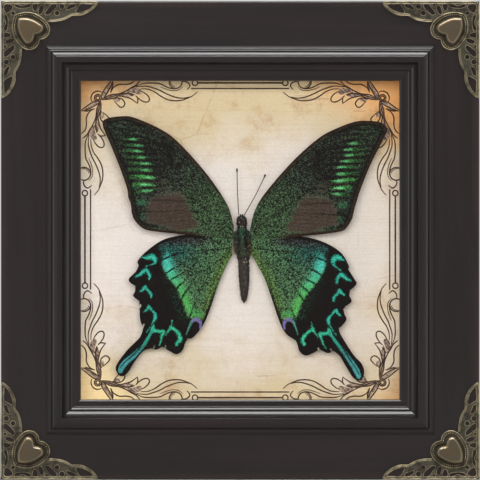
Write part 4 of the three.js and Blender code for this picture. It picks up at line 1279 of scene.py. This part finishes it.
def wingMaterial():
    s = Shader("wing_dusting")
    ground = s.mix(s.noise(s.objectPlace(), 900.0, 2.0), srgb(14, 11, 10), srgb(28, 23, 21))
    scales = s.group(scaleGroup, Scale_Colour=s.attribute("tint", "Color"), Ground=ground,
                     Cover=s.attribute("cover"))
    return s.set(Base_Color=scales["Colour"], Roughness=0.66, Specular_IOR_Level=0.04,
                 Normal=s.bump(scales["Height"], 0.00004, 0.45))


def makeWings():
    material = wingMaterial()
    makeWing("hindwing_left", hindLeft, True, hindPairs, paintHind, wings["hindBack"], material)
    makeWing("hindwing_right", hindRight, False, hindPairs, paintHind, wings["hindBack"], material)
    makeWing("forewing_left", foreLeft, True, forePairs, paintFore, wings["foreBack"], material)
    makeWing("forewing_right", foreRight, False, forePairs, paintFore, wings["foreBack"], material)


# body and antennae

insect = {            # mm
    "depth": 11.4, "sides": 28, "batches": 35, "hairLength": (0.8, 2.1),
    "axis": [(-24, 1.45), (-16, 1.55), (-10, 1.4), (-5, 1.15), (0, 0.9), (5, 0.7), (10, 0.5)],
    "profile": [(0.02, -23.9), (0.5, -23.2), (1.1, -21.6), (1.5, -18.7), (1.85, -15), (2.0, -11.2),
                (2.0, -7.8), (2.2, -5.5), (2.35, -2.5), (2.2, 0.4), (1.9, 3), (1.5, 5), (1.6, 6.6), (1.45, 8),
                (0.9, 9.1), (0.02, 9.6)],
    "paleDots": [(-0.15, 8.5), (0.67, 7.85), (-0.95, 6.8), (-0.47, 5.2), (0.3, 5.3), (0.16, -8.3),
                 (1.16, -8.3), (0.8, -6.9), (0.1, 1.2), (-0.6, -1.4), (0.9, -3.2)],
}


def onBody(x, forward, z):  # from the body's own axis, which bends a little, to the frame's place
    heights, places = zip(*insect["axis"])
    return at(x + float(np.interp(z, heights, places)), insect["depth"] + forward, z)


def bodyRadius(z):
    table = np.array(insect["profile"])
    return float(np.interp(z, table[:, 1], table[:, 0]))


def bodyColour(x, forward, z, rng):
    if z > 5.2:
        return srgb(120, 104, 84) if rng.random() < 0.08 else srgb(32, 25, 22)
    if z < -6:
        shade = 1 if math.sin(z * 3.0) > -0.5 else 0.75
        return tuple(c * shade for c in (srgb(57, 50, 45) if rng.random() < 0.8 else srgb(82, 76, 65)))
    if abs(x) > 1.8 and -5.5 < z < 3.5:
        return srgb(132, 110, 82) if rng.random() < 0.28 else srgb(46, 40, 31)
    light = 0.5 if abs(x) < 0.7 else 0.2
    pale = srgb(70, 106, 84) if z > 0.5 else srgb(98, 108, 84)
    return pale if rng.random() < light else srgb(28, 32, 25)


def makeBody(material):
    rng = random.Random(11)
    bm = bmesh.new()
    tint = bm.verts.layers.float_color.new("tint")
    fine = smoothLine(insect["profile"], 5)
    verts = []
    for radius, z in fine:
        ripple = 1 + (0.05 * math.sin(z * 3.0) if -22 < z < -6.5 else 0)
        verts.append(bm.verts.new((max(radius, 0.0) * ripple, 0, z)))
    edges = [bm.edges.new(pair) for pair in zip(verts[:-1], verts[1:])]
    bmesh.ops.spin(bm, geom=verts + edges, cent=(0, 0, 0), axis=(0, 0, 1), angle=2 * math.pi,
                   steps=insect["sides"], use_merge=True)
    bmesh.ops.remove_doubles(bm, verts=bm.verts, dist=0.03)
    bmesh.ops.holes_fill(bm, edges=[e for e in bm.edges if e.is_boundary])
    bmesh.ops.recalc_face_normals(bm, faces=bm.faces)
    for side in (-1, 1):
        bmesh.ops.create_uvsphere(bm, u_segments=16, v_segments=10, radius=0.8,
                                  matrix=Matrix.Translation((side * 1.05, -0.5, 7.2)))
        palp = Matrix.Translation((side * 0.45, -0.9, 9.3)) @ Matrix.Rotation(math.radians(25), 4, "X")
        bmesh.ops.create_cone(bm, cap_ends=True, segments=8, radius1=0.42, radius2=0.14, depth=1.5, matrix=palp)
    for v in bm.verts:
        v[tint] = (*bodyColour(v.co.x, -v.co.y, v.co.z, rng), 1)
    for x, z in insect["paleDots"]:
        front = math.sqrt(max(bodyRadius(z) ** 2 - x ** 2, 0.0)) + 0.12
        made = bmesh.ops.create_icosphere(bm, subdivisions=1, radius=0.2, matrix=Matrix.Translation((x, -front, z)))
        for v in made["verts"]:
            v[tint] = (*srgb(206, 194, 172), 1)
    for batch in range(insect["batches"]):
        gather(bm, hairBatch(rng, 200))
    for v in bm.verts:
        v.co = onBody(v.co.x, -v.co.y, v.co.z)
    mesh = bpy.data.meshes.new("furred_body")
    bm.to_mesh(mesh)
    bm.free()
    mesh.shade_smooth()
    addPiece("furred_body", mesh, [material], "insect_body", "butterfly_body")


def hairBatch(rng, count):  # a few hairs at a time, which is much quicker than one growing mesh
    bm = bmesh.new()
    tint = bm.verts.layers.float_color.new("tint")
    for i in range(count):
        z = rng.uniform(-6.5, 8.6) if i % 5 else rng.uniform(-22.5, -6.5)
        angle = rng.uniform(0, 2 * math.pi)
        radius = bodyRadius(z)
        outward = Vector((math.cos(angle), math.sin(angle), 0))
        lying = 0.3 if z > -6.5 else 0.16
        direction = (outward * lying * rng.uniform(0.6, 1.4) + Vector((rng.gauss(0, 0.2), rng.gauss(0, 0.2), -0.8)))
        if z > 5.5:
            direction.z = rng.uniform(-0.2, 0.8)
        length = rng.uniform(*insect["hairLength"]) * (1.0 if -4.5 < z < 4.5 else 0.5)
        if abs(outward.x) > 0.7 and -5.5 < z < 3.5:  # tufts at the wing roots
            direction = outward * rng.uniform(0.5, 1.0) + Vector((0, rng.gauss(0, 0.25), rng.gauss(-0.3, 0.5)))
        root = outward * radius * 0.97 + Vector((0, 0, z))
        turn = direction.to_track_quat("Z", "Y").to_matrix().to_4x4()
        matrix = Matrix.Translation(root + direction.normalized() * length / 2) @ turn
        made = bmesh.ops.create_cone(bm, cap_ends=False, segments=3, radius1=0.12, radius2=0.0, depth=length,
                                     matrix=matrix)
        base = bodyColour(root.x, -root.y, z, rng)
        shade = rng.uniform(0.6, 1.5)
        for v in made["verts"]:
            v[tint] = (base[0] * shade, base[1] * shade, base[2] * shade, 1)
    draft = bpy.data.meshes.new("draft")
    bm.to_mesh(draft)
    bm.free()
    return draft


def bodyMaterial():
    s = Shader("insect_hair")
    tone = s.noise(s.objectPlace(), 1800.0, 3.0)
    shade = s.combine(s.ramp(tone, 0.3, 0.7, 0.6, 1.25))
    return s.set(Base_Color=s.mix(1.0, s.attribute("tint", "Color"), shade, "MULTIPLY"), Roughness=0.6,
                 Specular_IOR_Level=0.3)


feelers = {           # root, middle and tip, mm
    "left": [(-0.5, 11.6, 9.4), (-1.0, 12.1, 18.0), (-1.2, 12.4, 27.2)],
    "right": [(1.4, 11.6, 9.2), (5.9, 12.1, 17.2), (9.6, 12.4, 24.9)],
}


def makeAntennae():
    material = bareMaterial("feeler_chitin", srgb(30, 24, 22), srgb(52, 42, 36), 900.0, Roughness=0.5)
    for side, points in feelers.items():
        line = smoothLine(points, 24)
        count = len(line)
        placed = []
        for i, (x, depth, z) in enumerate(line):
            t = i / (count - 1)
            radius = 0.15 + 0.2 * float(step(np.array(t), 0.86, 0.95)) + 0.012 * (i % 2)
            placed.append((*(at(x, depth, z) / mm), radius if i < count - 1 else 0.12))
        mesh = curveMesh([placed], False, dimensions="3D", bevel_depth=1.0, bevel_resolution=2,
                         use_fill_caps=True)
        mesh.transform(Matrix.Scale(mm, 4))
        mesh.shade_smooth()
        addPiece("feeler_" + side, mesh, [material], "antenna", "antenna_" + side)


def setMaterial(name, material):
    nodes[name].data.materials.clear()
    nodes[name].data.materials.append(material)


makeCamera()
makeLamps()
makeWorld()
makeFloor()
print("studio ready")
for name, turns in (("bottom", 0), ("left", 1), ("top", 2), ("right", 3)):
    makeRail(name, turns, lacquerMaterial("lacquer_" + name, name in ("left", "right")))
print("rails ready")
makeCorners([brassMaterial(name) for name in brassLooks])
print("corners ready")
setMaterial("glass_pane", glassMaterial())
setMaterial("backing_card", cardMaterial())
makeBackParts()
makeBorder()
print("card and back ready")
makeWings()
print("wings ready")
makeBody(bodyMaterial())
makeAntennae()
print("insect ready")
